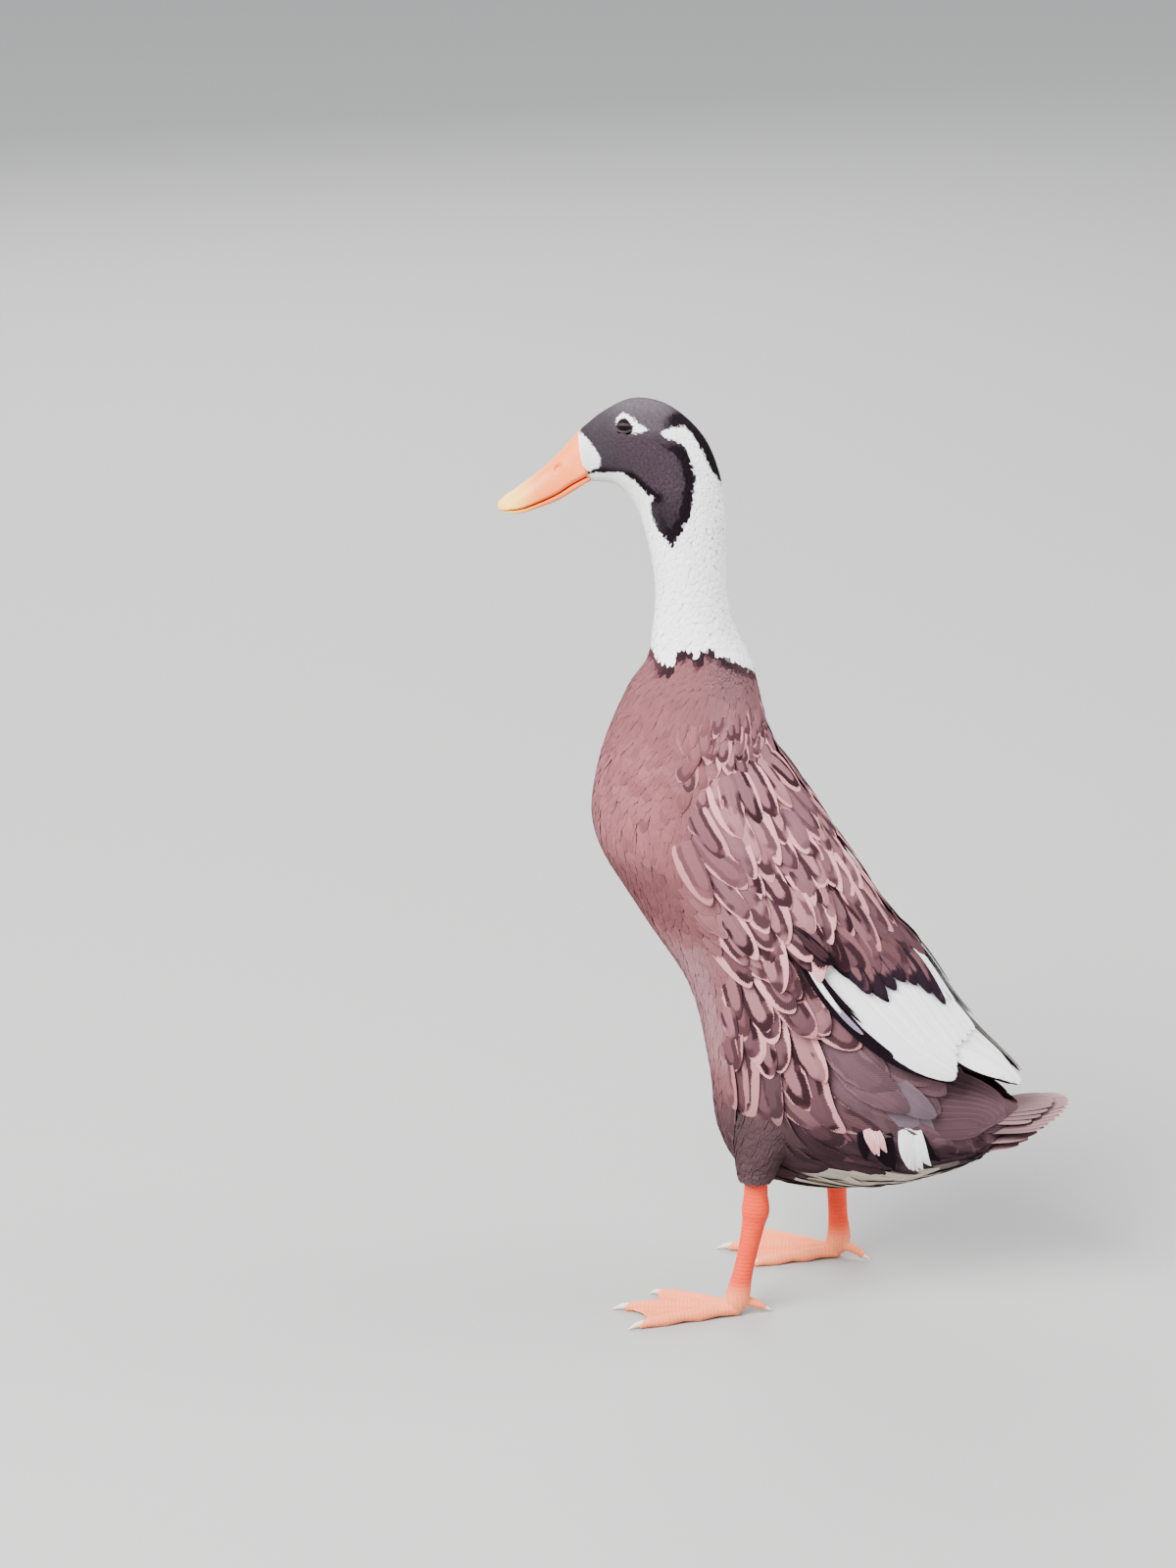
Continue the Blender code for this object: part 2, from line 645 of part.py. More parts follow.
def bill_lower(finish):
    """The lower half of the bill: a shallow tray under the mouth line."""
    rings = []
    for i in range(10):
        at = i / 9 * 6
        top = np.array([0, *blend(BILL_MOUTH, at)])
        low = np.array([0, *blend(BILL_FLOOR, at)])
        down = (low - top) / np.linalg.norm(low - top)
        top = top + down * (GAP + 0.1)
        wide = blend([(w,) for w in BILL_WIDE], at)[0] * 0.93
        if i == 9:
            low = top + down * 1.0
        ring = []
        for k in range(14):
            a = 2 * math.pi * k / 14
            height, across = math.cos(a), math.sin(a)
            drop = 0.0 if height > 0 else abs(height) ** 0.7
            across = math.copysign(abs(across) ** 0.6, across)
            if height > 0:
                across *= 0.999
            ring.append(top + (low - top) * (0.12 * (1 - max(height, 0)) + 0.88 * drop)
                        + np.array([wide * across, 0, 0]))
        rings.append(ring)
    forward = np.array([0, -0.95, -0.3])
    rings[0] = [v + forward * GAP for v in rings[0]]
    made = skin_of("bill_lower", rings)
    made.data.materials.append(finish)
    return made


def torso(finish):
    """The body with its feathered thighs, from the tail root to the collar."""
    made = trunk_part("torso", 0, NECK_FROM, 34)
    thighs = [thigh("thigh_left", FOOT_X, LEFT_HOCK_Y), thigh("thigh_right", -FOOT_X, RIGHT_HOCK_Y)]
    combine(made, thighs, "UNION")
    made.data.materials.clear()
    made.data.materials.append(finish)
    return made


def build():
    clear_scene()
    fawn = material("fawn_feathers", FAWN, 0.75)
    white = material("white_feathers", WHITE, 0.7)
    dark = material("dark_feathers", CAP_BROWN, 0.7)
    vanes = material("wing_feathers", WING_BROWN, 0.65)
    rear = material("tail_feathers", TAIL_BROWN, 0.65)
    orange = material("leg_skin", ORANGE, 0.5)
    yellow = material("bill_horn", BILL_YELLOW, 0.4)
    shine = material("eye_dark", EYE_DARK, 0.1)
    torso(fawn)
    neck = trunk_part("neck", NECK_FROM, HEAD_FROM, 11)
    neck.data.materials.append(white)
    head(dark)
    eye("eye_left", 1, shine)
    eye("eye_right", -1, shine)
    bill_upper(yellow)
    bill_lower(yellow)
    left = wing_left(vanes)
    mirrored(left, "wing_right", vanes)
    tail(rear)
    leg("leg_left", FOOT_X, LEFT_HOCK_Y, LEFT_ANKLE_Y, orange)
    leg("leg_right", -FOOT_X, RIGHT_HOCK_Y, RIGHT_ANKLE_Y, orange)
    foot("foot_left", FOOT_X, LEFT_ANKLE_Y, orange)
    foot("foot_right", -FOOT_X, RIGHT_ANKLE_Y, orange)


build()
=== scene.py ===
import math

import bpy
import numpy as np
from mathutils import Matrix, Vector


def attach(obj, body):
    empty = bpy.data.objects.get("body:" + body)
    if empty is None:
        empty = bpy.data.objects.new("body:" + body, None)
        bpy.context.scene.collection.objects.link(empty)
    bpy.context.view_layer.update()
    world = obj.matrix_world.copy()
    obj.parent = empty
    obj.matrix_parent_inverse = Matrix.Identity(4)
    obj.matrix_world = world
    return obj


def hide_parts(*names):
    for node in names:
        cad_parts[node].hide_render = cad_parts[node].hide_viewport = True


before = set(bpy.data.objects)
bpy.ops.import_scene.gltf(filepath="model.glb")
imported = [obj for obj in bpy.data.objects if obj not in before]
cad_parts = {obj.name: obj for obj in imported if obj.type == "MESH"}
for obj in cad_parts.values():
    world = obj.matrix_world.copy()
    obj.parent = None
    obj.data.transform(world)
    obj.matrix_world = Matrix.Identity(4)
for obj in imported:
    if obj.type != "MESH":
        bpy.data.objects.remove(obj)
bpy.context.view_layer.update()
rng = np.random.default_rng(11)


# Skin of the body. One closed skin from the stump of the tail to the root of the bill, which the
# feathers grow from. It is lofted through stations in millimetres: the belly point and the back
# point of a section in the middle plane as (y, z), the half width, and how deep the coat is there.
STATIONS = np.array([
    (139, 111, 141, 117, 6, 1.0),
    (127, 99, 131, 125, 18, 3.0),
    (112, 90, 120, 131, 24, 4.0),
    (72, 77, 107, 151, 38, 5.0),
    (28, 74, 93, 177, 50, 5.0),
    (-20, 80, 78, 203, 57, 5.0),
    (-40, 108, 64, 226, 58, 4.5),
    (-46, 150, 50, 249, 58, 4.5),
    (-59, 203, 33, 279, 58, 4.5),
    (-90, 252, 14, 310, 59, 4.0),
    (-117, 300, -3, 337, 60, 4.0),
    (-115, 343, -12, 362, 55, 4.0),
    (-99, 387, -19, 393, 40, 3.6),
    (-86, 408, -24, 411, 30, 3.2),
    (-82.5, 428, -33, 430, 24, 2.8),
    (-81, 450, -37.5, 452, 21, 2.4),
    (-84, 474, -39, 480, 20, 2.2),
    (-88, 490, -40, 506, 20, 2.0),
    (-92, 502, -44, 527, 20.5, 1.8),
    (-98, 511, -54, 548, 21, 1.6),
    (-104, 516, -73.5, 564.6, 21, 1.3),
    (-110, 517.5, -94, 568.6, 19, 1.1),
    (-116, 517.5, -112, 560.4, 15.5, 0.9),
    (-121, 518, -127, 548, 12, 0.8),
], float)
BILL_BASE = 23.0  # the last station, where the horn of the bill begins
EYE_PLACE = np.array((12.2, -98.0, 554.6))
EYE_RIM = np.array((17.3, -97.9, 554.4))  # the middle of the opening of the lids


def read_rows(table, at):
    """Rows of a table between its own rows: 0.5 * (2b + (c-a)t + (2a-5b+4c-d)t^2 + (3b-a-3c+d)t^3)."""
    at = np.clip(at, 0, len(table) - 1 - 1e-9)
    i = at.astype(int)
    t = (at - i)[..., None]
    ends = np.concatenate([2 * table[:1] - table[1:2], table, 2 * table[-1:] - table[-2:-1]])
    a, b, c, d = (ends[i + k] for k in range(4))
    return 0.5 * (2 * b + (c - a) * t + (2 * a - 5 * b + 4 * c - d) * t**2 + (3 * b - a - 3 * c + d) * t**3)


def body(at, turn, lift=0.0, table=STATIONS):
    """A place on the coat's outside.

    It is centre + back * (half depth + lift) * cos(turn) + X * (half width + lift) * sin(turn).
    """
    rows = read_rows(table, at)
    low, high, wide = rows[..., 0:2], rows[..., 2:4], rows[..., 4]
    reach = (high - low) / 2
    depth = np.linalg.norm(reach, axis=-1)
    side = (low + high) / 2 + reach / depth[..., None] * ((depth + lift) * np.cos(turn))[..., None]
    return np.stack([(wide + lift) * np.sin(turn), side[..., 0], side[..., 1]], -1)


def unit(v):
    """Vectors scaled to length one."""
    return v / np.maximum(np.linalg.norm(v, axis=-1, keepdims=True), 1e-12)


def outward(surface, at, turn, lift=0.0):
    """The surface's normal: the cross product of its two slopes, turned to the side that lift moves to."""
    here = surface(at, turn, lift)
    slope = np.cross(surface(at, turn + 0.01, lift) - here, surface(at + 0.01, turn, lift) - here)
    rise = surface(at, turn, lift + 1.0) - here
    return unit(slope) * np.sign((slope * rise).sum(-1, keepdims=True))


def add_mesh(name, points, faces, material, layers=None, colours=None, crease=180):
    """A mesh on the frame, from points in millimetres and faces, smooth up to a crease in degrees."""
    mesh = bpy.data.meshes.new(name)
    sizes = np.concatenate([np.full(len(f), f.shape[1]) for f in faces])
    corners = np.concatenate([f.ravel() for f in faces]).astype(np.int32)
    mesh.vertices.add(len(points))
    mesh.loops.add(len(corners))
    mesh.polygons.add(len(sizes))
    mesh.vertices.foreach_set("co", (points * 0.001).astype(np.float32).ravel())
    mesh.loops.foreach_set("vertex_index", corners)
    mesh.polygons.foreach_set("loop_start", (np.cumsum(sizes) - sizes).astype(np.int32))
    mesh.update(calc_edges=True)
    for key, uv in (layers or {}).items():
        mesh.uv_layers.new(name=key).uv.foreach_set("vector", uv[corners].astype(np.float32).ravel())
    for key, rgb in (colours or {}).items():
        rgba = np.concatenate([rgb, np.ones((len(rgb), 1))], 1).astype(np.float32)
        mesh.attributes.new(key, "FLOAT_COLOR", "POINT").data.foreach_set("color", rgba.ravel())
    mesh.shade_smooth()
    if crease < 180:
        mesh.set_sharp_from_angle(angle=math.radians(crease))
    mesh.materials.append(material)
    made = bpy.data.objects.new(name, mesh)
    bpy.context.scene.collection.objects.link(made)
    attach(made, "root")
    return made


def grid_faces(rows, columns, wrap=True, start=0):
    """Quads of a grid of points, row after row, joined round each row where it wraps."""
    r, c = np.meshgrid(np.arange(rows - 1), np.arange(columns if wrap else columns - 1), indexing="ij")
    a, b = r * columns + c, r * columns + (c + 1) % columns
    return start + np.stack([a, b, b + columns, a + columns], -1).reshape(-1, 4)


def round_grid(first, last, rows, around):
    """(station, turn) of a grid of rings from a first station to a last one."""
    return np.meshgrid(np.linspace(first, last, rows), np.arange(around) / around * 2 * np.pi, indexing="ij")


def tube_faces(rows, around, start=0):
    """Quads between the rings of a tube, and a face over each of its ends."""
    end = start + np.arange(around)
    return [grid_faces(rows, around, start=start), end[None, ::-1], end[None] + (rows - 1) * around]


# Markings of a fawn and white runner. White on the face, neck and wings, a dark cap and cheeks, and
# pinkish fawn on the body, pencilled with brown on the back and flanks. The same function colours
# the skin and every feather. Outlines are in millimetres in the middle plane, as (y, z).
CAP_AND_CHEEK = np.array([
    (-131, 551), (-123, 547), (-118.6, 544.7), (-116, 541), (-112.6, 536.4), (-112.4, 530.9),
    (-115.6, 528.2), (-121, 525.4), (-121, 523.4), (-115.4, 526), (-110.5, 526), (-100.6, 528),
    (-94.8, 525), (-88.8, 519.6), (-84.5, 515.4), (-80.5, 513.4),
    (-83.4, 510.5), (-82.2, 502.3), (-78.2, 493.4), (-73.4, 488.9), (-69.1, 482.8), (-66.1, 490.1),
    (-62.1, 497), (-58.6, 502.9), (-57, 513.4), (-56, 523.9), (-57.2, 531.5), (-59.5, 539),
    (-63.2, 544.7), (-67.5, 548), (-73.3, 549.8), (-77, 552.6), (-70.5, 555.2), (-64.1, 555),
    (-59.4, 551), (-55.4, 545.2), (-51.6, 538.2), (-48.6, 531.6), (-44.6, 524.6), (-41, 517),
    (-30, 520), (-30, 590), (-128, 600),
])
EYE_RING = np.array([
    (-103.2, 555.5), (-103.6, 559.5), (-99.6, 562.6), (-94, 561.2), (-89.6, 557.4), (-84, 554.6),
    (-89, 552.8), (-93, 552),
])
COLLAR_EDGE = np.array([  # (degrees from the back, station) of the white neck's lower edge
    (0, 12.55), (12, 12.64), (30, 13.03), (44, 13.28), (60, 13.5), (64, 13.75), (75, 13.63),
    (88, 13.47), (97, 13.78), (110, 13.6), (115, 13.27), (121, 13.15), (134, 13.21), (150, 13.46),
    (180, 13.55),
])
PLAIN_FRONT = np.array([  # (station, degrees from the back) where the plain breast begins
    (4, 168), (7.5, 146), (8.1, 137), (8.7, 121), (9.35, 107), (10.05, 93), (10.9, 90), (11.6, 93),
    (12.6, 105),
])
RUMP_LINE = np.array([  # (degrees from the back, station) behind which the rump is plain
    (0, 5.7), (50, 5.7), (57, 5.35), (66, 4.9), (80, 4.6), (92, 4.4), (180, 4.3),
])
WHITE = np.array((0.88, 0.875, 0.865))
SLATE = np.array((0.17, 0.135, 0.195))
# painted sheen: a soft lavender-grey highlight laid on the dark rear flank
PAINTED_SHEEN = np.array((0.19, 0.165, 0.195))
CREAM = np.array((0.50, 0.44, 0.36))
CAP_BROWN = np.array((0.074, 0.060, 0.070))
CHEEK_BROWN = np.array((0.044, 0.030, 0.039))
RIM_BLACK = np.array((0.006, 0.003, 0.005))
FAWN = np.array((0.234, 0.086, 0.094))
DUSKY = np.array((0.100, 0.060, 0.068))
PALE_EDGE = np.array((0.58, 0.255, 0.265))
DARK_BAND = np.array((0.018, 0.007, 0.009))
MID_BROWN = np.array((0.084, 0.038, 0.046))
RUMP_BROWN = np.array((0.090, 0.048, 0.058))
VENT_BROWN = np.array((0.026, 0.013, 0.017))
BELLY_GREY = np.array((0.050, 0.028, 0.031))
PALE_BELLY = np.array((0.29, 0.155, 0.17))


def depth_in(outline, y, z):
    """How far a place lies inside an outline: its distance to the nearest edge, negative outside."""
    a, b = outline, np.roll(outline, -1, axis=0)
    p = np.stack([y, z], -1)[..., None, :]
    run = b - a
    share = np.clip(((p - a) * run).sum(-1) / (run**2).sum(-1), 0, 1)
    near = np.linalg.norm(p - a - share[..., None] * run, axis=-1).min(-1)
    straddle = (a[:, 1] > p[..., 1]) != (b[:, 1] > p[..., 1])
    rise = np.where(np.abs(run[:, 1]) < 1e-9, 1e-9, run[:, 1])
    crossings = (straddle & (p[..., 0] < a[:, 0] + (p[..., 1] - a[:, 1]) / rise * run[:, 0])).sum(-1)
    return np.where(crossings % 2 == 1, near, -near)


def ease(low, high, value):
    """0 below low, 1 above high, and 3t^2 - 2t^3 between."""
    t = np.clip((value - low) / (high - low), 0, 1)
    return t * t * (3 - 2 * t)


def waver(p, scale, seed):
    """A smooth random field from -1 to 1: the mean of six sine waves in random directions."""
    source = np.random.default_rng(seed)
    ways = unit(source.normal(size=(6, 3))) * source.uniform(0.6, 1.6, (6, 1)) / scale
    return np.sin(p @ ways.T * 2 * np.pi + source.uniform(0, 7, 6)).mean(-1) * 1.6


def mix(a, b, share):
    """Colours between a and b, at a share for each place."""
    return a + (b - a) * np.asarray(share)[..., None]


def markings(p, at, turn):
    """(edge, band, heart) colours of a feather rooted at a place, from the marks' outlines."""
    turn = np.degrees(np.abs((turn + np.pi) % (2 * np.pi) - np.pi))
    y, z = p[..., 1], p[..., 2]
    mottle = waver(p, 16, 1)
    tones = [np.broadcast_to(tone, p.shape) for tone in (PALE_EDGE, DARK_BAND, MID_BROWN)]

    def lay(share, *over):
        """Lay a mark over the three colours: a colour for each of them, or one for all."""
        tones[:] = [mix(below, above, share) for below, above in zip(tones, over * (3 // len(over)))]

    # the body: pencilled behind, plain fawn in front, dusky at the shoulders, plain mauve at the rump
    ahead = turn - np.interp(at, *PLAIN_FRONT.T) + 9 * mottle
    lay(0.5 * ease(0.1, 0.9, waver(p, 30, 2)), FAWN * 0.9, DARK_BAND * 2.2, MID_BROWN * 1.25)
    lay(0.7 * ease(235, 285, z + 10 * mottle), PALE_EDGE * 1.08, DARK_BAND * 1.6, MID_BROWN * 2.2)
    lay(0.85 * ease(-42, -6, ahead), FAWN * 1.15, MID_BROWN * 0.9, FAWN * 0.75)
    fawn = mix(FAWN, FAWN * 0.80, ease(-0.3, 1.0, mottle))
    lay(ease(-9, 6, ahead), fawn * 1.03, fawn * 0.94, fawn)
    lay(0.8 * ease(11.2, 12.9, at + 0.3 * mottle), DUSKY * 1.35, DUSKY * 0.8, DUSKY)
    low = ease(165, 125, z + 8 * mottle) * ease(45, 5, y)
    lay(0.9 * low, BELLY_GREY * 1.25, BELLY_GREY * 0.7, BELLY_GREY)
    nape_foot = ease(10.7, 11.7, at + 0.5 * mottle) * (0.3 + 0.7 * ease(50, 90, turn))
    lay(0.85 * nape_foot, FAWN * 0.76, FAWN * 0.68, FAWN * 0.72)
    lay(0.42 * ease(0.2, 0.8, waver(p, 11, 9)) * ease(75, 15, ahead) * ease(-10, 5, ahead), MID_BROWN * 1.15)
    # painted shade: the breast is darker where it curves away below, at its lower front edge
    breast_edge_shade = ease(304, 286, z + 6 * mottle) * ease(243, 262, z) * ease(94, 114, turn) * ease(178, 140, turn)
    lay(0.6 * breast_edge_shade, FAWN * 0.4)
    paler = ease(250, 232, z + 8 * mottle) * ease(150, 172, z) * ease(-22, -2, ahead) * ease(185, 140, turn)
    lay(0.75 * paler, PALE_BELLY * 1.1, PALE_BELLY * 0.75, PALE_BELLY)
    rump_from = np.interp(turn, *RUMP_LINE.T)
    rump_share = ease(rump_from + 0.15, rump_from - 0.15, at + 0.12 * mottle)
    lay(0.97 * rump_share, RUMP_BROWN * 1.15, RUMP_BROWN * 0.85, RUMP_BROWN)
    # painted sheen: a soft lavender-grey highlight round station 3.5, 69 degrees from the back
    lay(0.6 * ease(1.0, 0.5, np.hypot((at - 3.5) / 0.75, (turn - 69) / 9)) * (y > 20), PAINTED_SHEEN)
    lay(0.9 * ease(92, 101, turn) * ease(5.4, 4.8, at), VENT_BROWN * 2.0, VENT_BROWN, VENT_BROWN * 1.3)
    under = ease(120, 125, turn + 3 * mottle) * ease(4.5, 4.1, at) * ease(2.1, 2.9, at)
    lay(0.95 * under, CREAM, CREAM * 0.8, CREAM * 0.9)
    # the white neck, whose lower edge runs out in points over a dark border
    line = np.interp(turn, *COLLAR_EDGE.T)
    border = ease(line - 0.40, line - 0.24, at + 0.06 * waver(p, 5, 7)) * (at < 15)
    lay(0.92 * border * (0.7 + 0.3 * ease(25, 55, turn) * ease(150, 120, turn)), RIM_BLACK * 1.5)
    white = WHITE * (1 - 0.05 * ease(0, 1, mottle))[..., None]
    lay(ease(line - 0.03, line + 0.03, at + 0.03 * waver(p, 4, 7)), white, white * 0.97, white)
    # the dark cap and cheeks, blackest round their rear and lower rims, with a pale ring at the eye
    inside = depth_in(CAP_AND_CHEEK, y, z) + 0.5 * waver(p, 3.5, 5)
    behind = ease(-80, -71, y) * ease(549, 543, z)
    jaw = ease(532, 527, z) * ease(507, 512, z)
    nape = ease(-79, -70, y) * ease(546, 551, z + 0.45 * (y + 62))
    cheek = mix(np.broadcast_to(CHEEK_BROWN, p.shape), CAP_BROWN, ease(549, 557, z))
    # painted sheen: the top of the crown is lighter and greyer, as light falls on it
    cheek = mix(cheek, CAP_BROWN * 1.5, ease(560, 569, z) * ease(-66, -76, y))
    cheek = mix(cheek, CHEEK_BROWN * 0.5, ease(522, 498, z))
    cheek = mix(cheek, CAP_BROWN * 0.55, ease(-101, -107, y) * ease(565, 556, z) * 0.7)
    rim = ease(7.6, 5.2, inside) * behind + ease(5.4, 3.4, inside) * jaw + ease(8.5, 5.0, inside) * nape
    cheek = mix(cheek, RIM_BLACK, np.clip(rim, 0, 1) * 0.96)
    cheek = cheek * (1 + 0.16 * waver(p, 2.2, 6))[..., None]
    lay(ease(-0.4, 0.4, inside) * (at > 15), cheek, cheek * 0.8, cheek * 0.9)
    ring = ease(-0.4, 0.4, depth_in(EYE_RING, y, z) + 0.3 * waver(p, 3, 5)) * (at > 18)
    lay(ring, WHITE * 0.97, WHITE * 0.93, WHITE * 0.95)
    return tones


def shader_group(name, inputs, outputs):
    """A new node group with its sockets, and its input and output nodes."""
    group = bpy.data.node_groups.new(name, "ShaderNodeTree")
    for socket, kind, value in inputs:
        made = group.interface.new_socket(socket, in_out="INPUT", socket_type=kind)
        if value is not None:
            made.default_value = value
    for socket, kind in outputs:
        group.interface.new_socket(socket, in_out="OUTPUT", socket_type=kind)
    return group, group.nodes.new("NodeGroupInput"), group.nodes.new("NodeGroupOutput")


def math_node(tree, operation, a, b=0.0, c=0.0):
    """A Math node fed by sockets or numbers, as its output."""
    made = tree.nodes.new("ShaderNodeMath")
    made.operation = operation
    for slot, value in zip(made.inputs, (a, b, c)):
        if isinstance(value, (int, float)):
            slot.default_value = value
        else:
            tree.links.new(value, slot)
    return made.outputs[0]


def ramp_node(tree, value, low, high):
    """A smooth step of a value from 0 at low to 1 at high."""
    made = tree.nodes.new("ShaderNodeMapRange")
    made.interpolation_type = "SMOOTHSTEP"
    tree.links.new(value, made.inputs["Value"])
    made.inputs["From Min"].default_value, made.inputs["From Max"].default_value = low, high
    return made.outputs["Result"]


def mix_node(tree, share, a, b, blend="MIX"):
    """A colour mix of sockets or colours, as its output."""
    made = tree.nodes.new("ShaderNodeMix")
    made.data_type, made.blend_type = "RGBA", blend
    for k, value in ((0, share), (6, a), (7, b)):
        if isinstance(value, bpy.types.NodeSocket):
            tree.links.new(value, made.inputs[k])
        else:
            made.inputs[k].default_value = (*value, 1) if k else value
    return made.outputs[2]


def new_material(name, roughness, specular=0.5):
    """(material, tree, shader) with constant values on the shader's own sockets."""
    made = bpy.data.materials.new(name)
    made.use_nodes = True
    shader = made.node_tree.nodes["Principled BSDF"]
    shader.inputs["Roughness"].default_value = roughness
    shader.inputs["Specular IOR Level"].default_value = specular
    return made, made.node_tree, shader


def bump_to(tree, shader, height, strength, distance):
    """Lets a height bump a shader's normal."""
    made = tree.nodes.new("ShaderNodeBump")
    made.inputs["Strength"].default_value = strength
    made.inputs["Distance"].default_value = distance
    tree.links.new(height, made.inputs["Height"])
    tree.links.new(made.outputs["Normal"], shader.inputs["Normal"])


def noise_node(tree, vector, scale, detail=3.0):
    """A noise from 0 to 1 at a vector."""
    made = tree.nodes.new("ShaderNodeTexNoise")
    made.inputs["Scale"].default_value = scale
    made.inputs["Detail"].default_value = detail
    tree.links.new(vector, made.inputs["Vector"])
    return made.outputs["Fac"]


def place_node(tree):
    """The place on the object, in metres."""
    return tree.nodes.new("ShaderNodeTexCoord").outputs["Object"]


def split_node(tree, vector):
    """The X, Y and Z of a vector."""
    made = tree.nodes.new("ShaderNodeSeparateXYZ")
    tree.links.new(vector, made.inputs[0])
    return made.outputs


def read_colour(tree, name):
    """A colour that the mesh carries."""
    made = tree.nodes.new("ShaderNodeAttribute")
    made.attribute_name = name
    return made.outputs["Color"]


# The vane group gives each feather its drawing. Its map runs across the vane in X and from root
# to tip in Y. Ring counts from 0 at the heart to 1 on the outline, Barb is the comb of barbs that
# slants back from the shaft, and Shaft is the quill.
ROUND_FROM = 0.45
vane_group, vane_in, vane_out = shader_group(
    "vane_drawing", [("Vane", "NodeSocketVector", None), ("Barbs", "NodeSocketFloat", 26.0)],
    [("Ring", "NodeSocketFloat"), ("Barb", "NodeSocketFloat"), ("Shaft", "NodeSocketFloat")])


def vane_math(operation, *values):
    """A math node in the vane group."""
    return math_node(vane_group, operation, *values)


vane_x, vane_y = split_node(vane_group, vane_in.outputs["Vane"])[:2]
vane_across = vane_math("ABSOLUTE", vane_math("MULTIPLY_ADD", vane_x, 2.0, -1.0))
vane_round = vane_math("MAXIMUM", vane_math("SUBTRACT", vane_y, ROUND_FROM), 0.0)
vane_round = vane_math("POWER", vane_math("DIVIDE", vane_round, 1 - ROUND_FROM), 2.0)
vane_ring = vane_math("SQRT", vane_math("ADD", vane_math("MULTIPLY", vane_across, vane_across),
                                        vane_math("MULTIPLY", vane_round, vane_round)))
vane_group.links.new(vane_ring, vane_out.inputs["Ring"])
vane_run = vane_math("SUBTRACT", vane_y, vane_math("MULTIPLY", vane_across, 0.28))
vane_wave = vane_math("MULTIPLY", vane_math("MULTIPLY", vane_run, vane_in.outputs["Barbs"]), 6.283)
vane_comb = vane_math("MULTIPLY_ADD", vane_math("SINE", vane_wave), 0.5, 0.5)
vane_group.links.new(vane_comb, vane_out.inputs["Barb"])
vane_group.links.new(ramp_node(vane_group, vane_across, 0.09, 0.02), vane_out.inputs["Shaft"])


def plumage(name, barbs, band=(0.38, 0.48), edge=(0.73, 0.83), broken=0.0, shaft_line=0.0):
    """A feather material: a dark band round a heart, inside a pale edge, broken up by barbs and gaps."""
    made, tree, shader = new_material(name, 0.85, specular=0.05)
    uv = tree.nodes.new("ShaderNodeUVMap")
    uv.uv_map = "Vane"
    drawing = tree.nodes.new("ShaderNodeGroup")
    drawing.node_tree = vane_group
    tree.links.new(uv.outputs["UV"], drawing.inputs["Vane"])
    drawing.inputs["Barbs"].default_value = barbs
    ring, barb, shaft = (drawing.outputs[k] for k in ("Ring", "Barb", "Shaft"))
    place = place_node(tree)
    grain = noise_node(tree, place, 900.0, 2.0)
    fray = math_node(tree, "MULTIPLY_ADD", barb, 0.05, math_node(tree, "MULTIPLY_ADD", grain, 0.16, -0.08))
    if broken:
        drift = noise_node(tree, place, 70.0, 2.0)
        fray = math_node(tree, "ADD", fray, math_node(tree, "MULTIPLY_ADD", drift, 0.46, -0.23))
    ring = math_node(tree, "ADD", ring, fray)
    dark = ramp_node(tree, ring, *band)
    if broken:
        gaps = ramp_node(tree, noise_node(tree, place, 62.0, 1.0), 0.38, 0.50)
        dark = math_node(tree, "MULTIPLY", dark, math_node(tree, "MULTIPLY_ADD", gaps, broken, 1 - broken))
    if shaft_line:
        dark = math_node(tree, "MAXIMUM", dark, math_node(tree, "MULTIPLY", shaft, shaft_line))
    inner = mix_node(tree, dark, read_colour(tree, "heart"), read_colour(tree, "band"))
    whole = mix_node(tree, ramp_node(tree, ring, *edge), inner, read_colour(tree, "edge"))
    shade = math_node(tree, "MULTIPLY_ADD", barb, 0.12, math_node(tree, "MULTIPLY_ADD", grain, 0.18, 0.85))
    grey = tree.nodes.new("ShaderNodeCombineColor")
    for slot in grey.inputs:
        tree.links.new(shade, slot)
    whole = mix_node(tree, 1.0, whole, grey.outputs[0], "MULTIPLY")
    tree.links.new(whole, shader.inputs["Base Color"])
    height = math_node(tree, "MULTIPLY_ADD", shaft, 0.8, math_node(tree, "MULTIPLY", barb, 0.5))
    bump_to(tree, shader, height, 0.5, 0.0004)
    return made


skin_paint, skin_tree, skin_shader = new_material("feathered_skin", 0.85, specular=0.05)
skin_tree.links.new(read_colour(skin_tree, "edge"), skin_shader.inputs["Base Color"])
bump_to(skin_tree, skin_shader, noise_node(skin_tree, place_node(skin_tree), 700.0), 0.4, 0.0006)

SKIN_ROWS, SKIN_AROUND = 300, 128


def from_eye(spot):
    """The way from the middle of the lids on the same side to a place."""
    return np.abs(spot) * (1, 0, 0) + spot * (0, 1, 1) - EYE_RIM


def coat_depth(at):
    """How deep the coat is at a station, in millimetres."""
    return read_rows(STATIONS, at)[..., 5]


def skin_lift(at, turn):
    """The skin lies a coat's depth under the outside, and deeper in a pit round each eye."""
    off = np.linalg.norm(from_eye(body(at, turn)), axis=-1)
    return -coat_depth(at) - 3.2 * ease(6.2, 3.4, off)


skin_at, skin_turn = round_grid(0, BILL_BASE, SKIN_ROWS, SKIN_AROUND)
skin_points = body(skin_at, skin_turn, skin_lift(skin_at, skin_turn)).reshape(-1, 3)
skin_edge, skin_band, skin_heart = markings(skin_points, skin_at.ravel(), skin_turn.ravel())
skin = add_mesh("skin", skin_points, [f[:, ::-1] for f in tube_faces(SKIN_ROWS, SKIN_AROUND)], skin_paint,
                {"OFBake": np.stack([skin_turn.ravel() / 6.2832, skin_at.ravel() / BILL_BASE], 1)},
                {"edge": 0.4 * skin_edge + 0.3 * skin_band + 0.3 * skin_heart})
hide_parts("torso", "neck", "head")


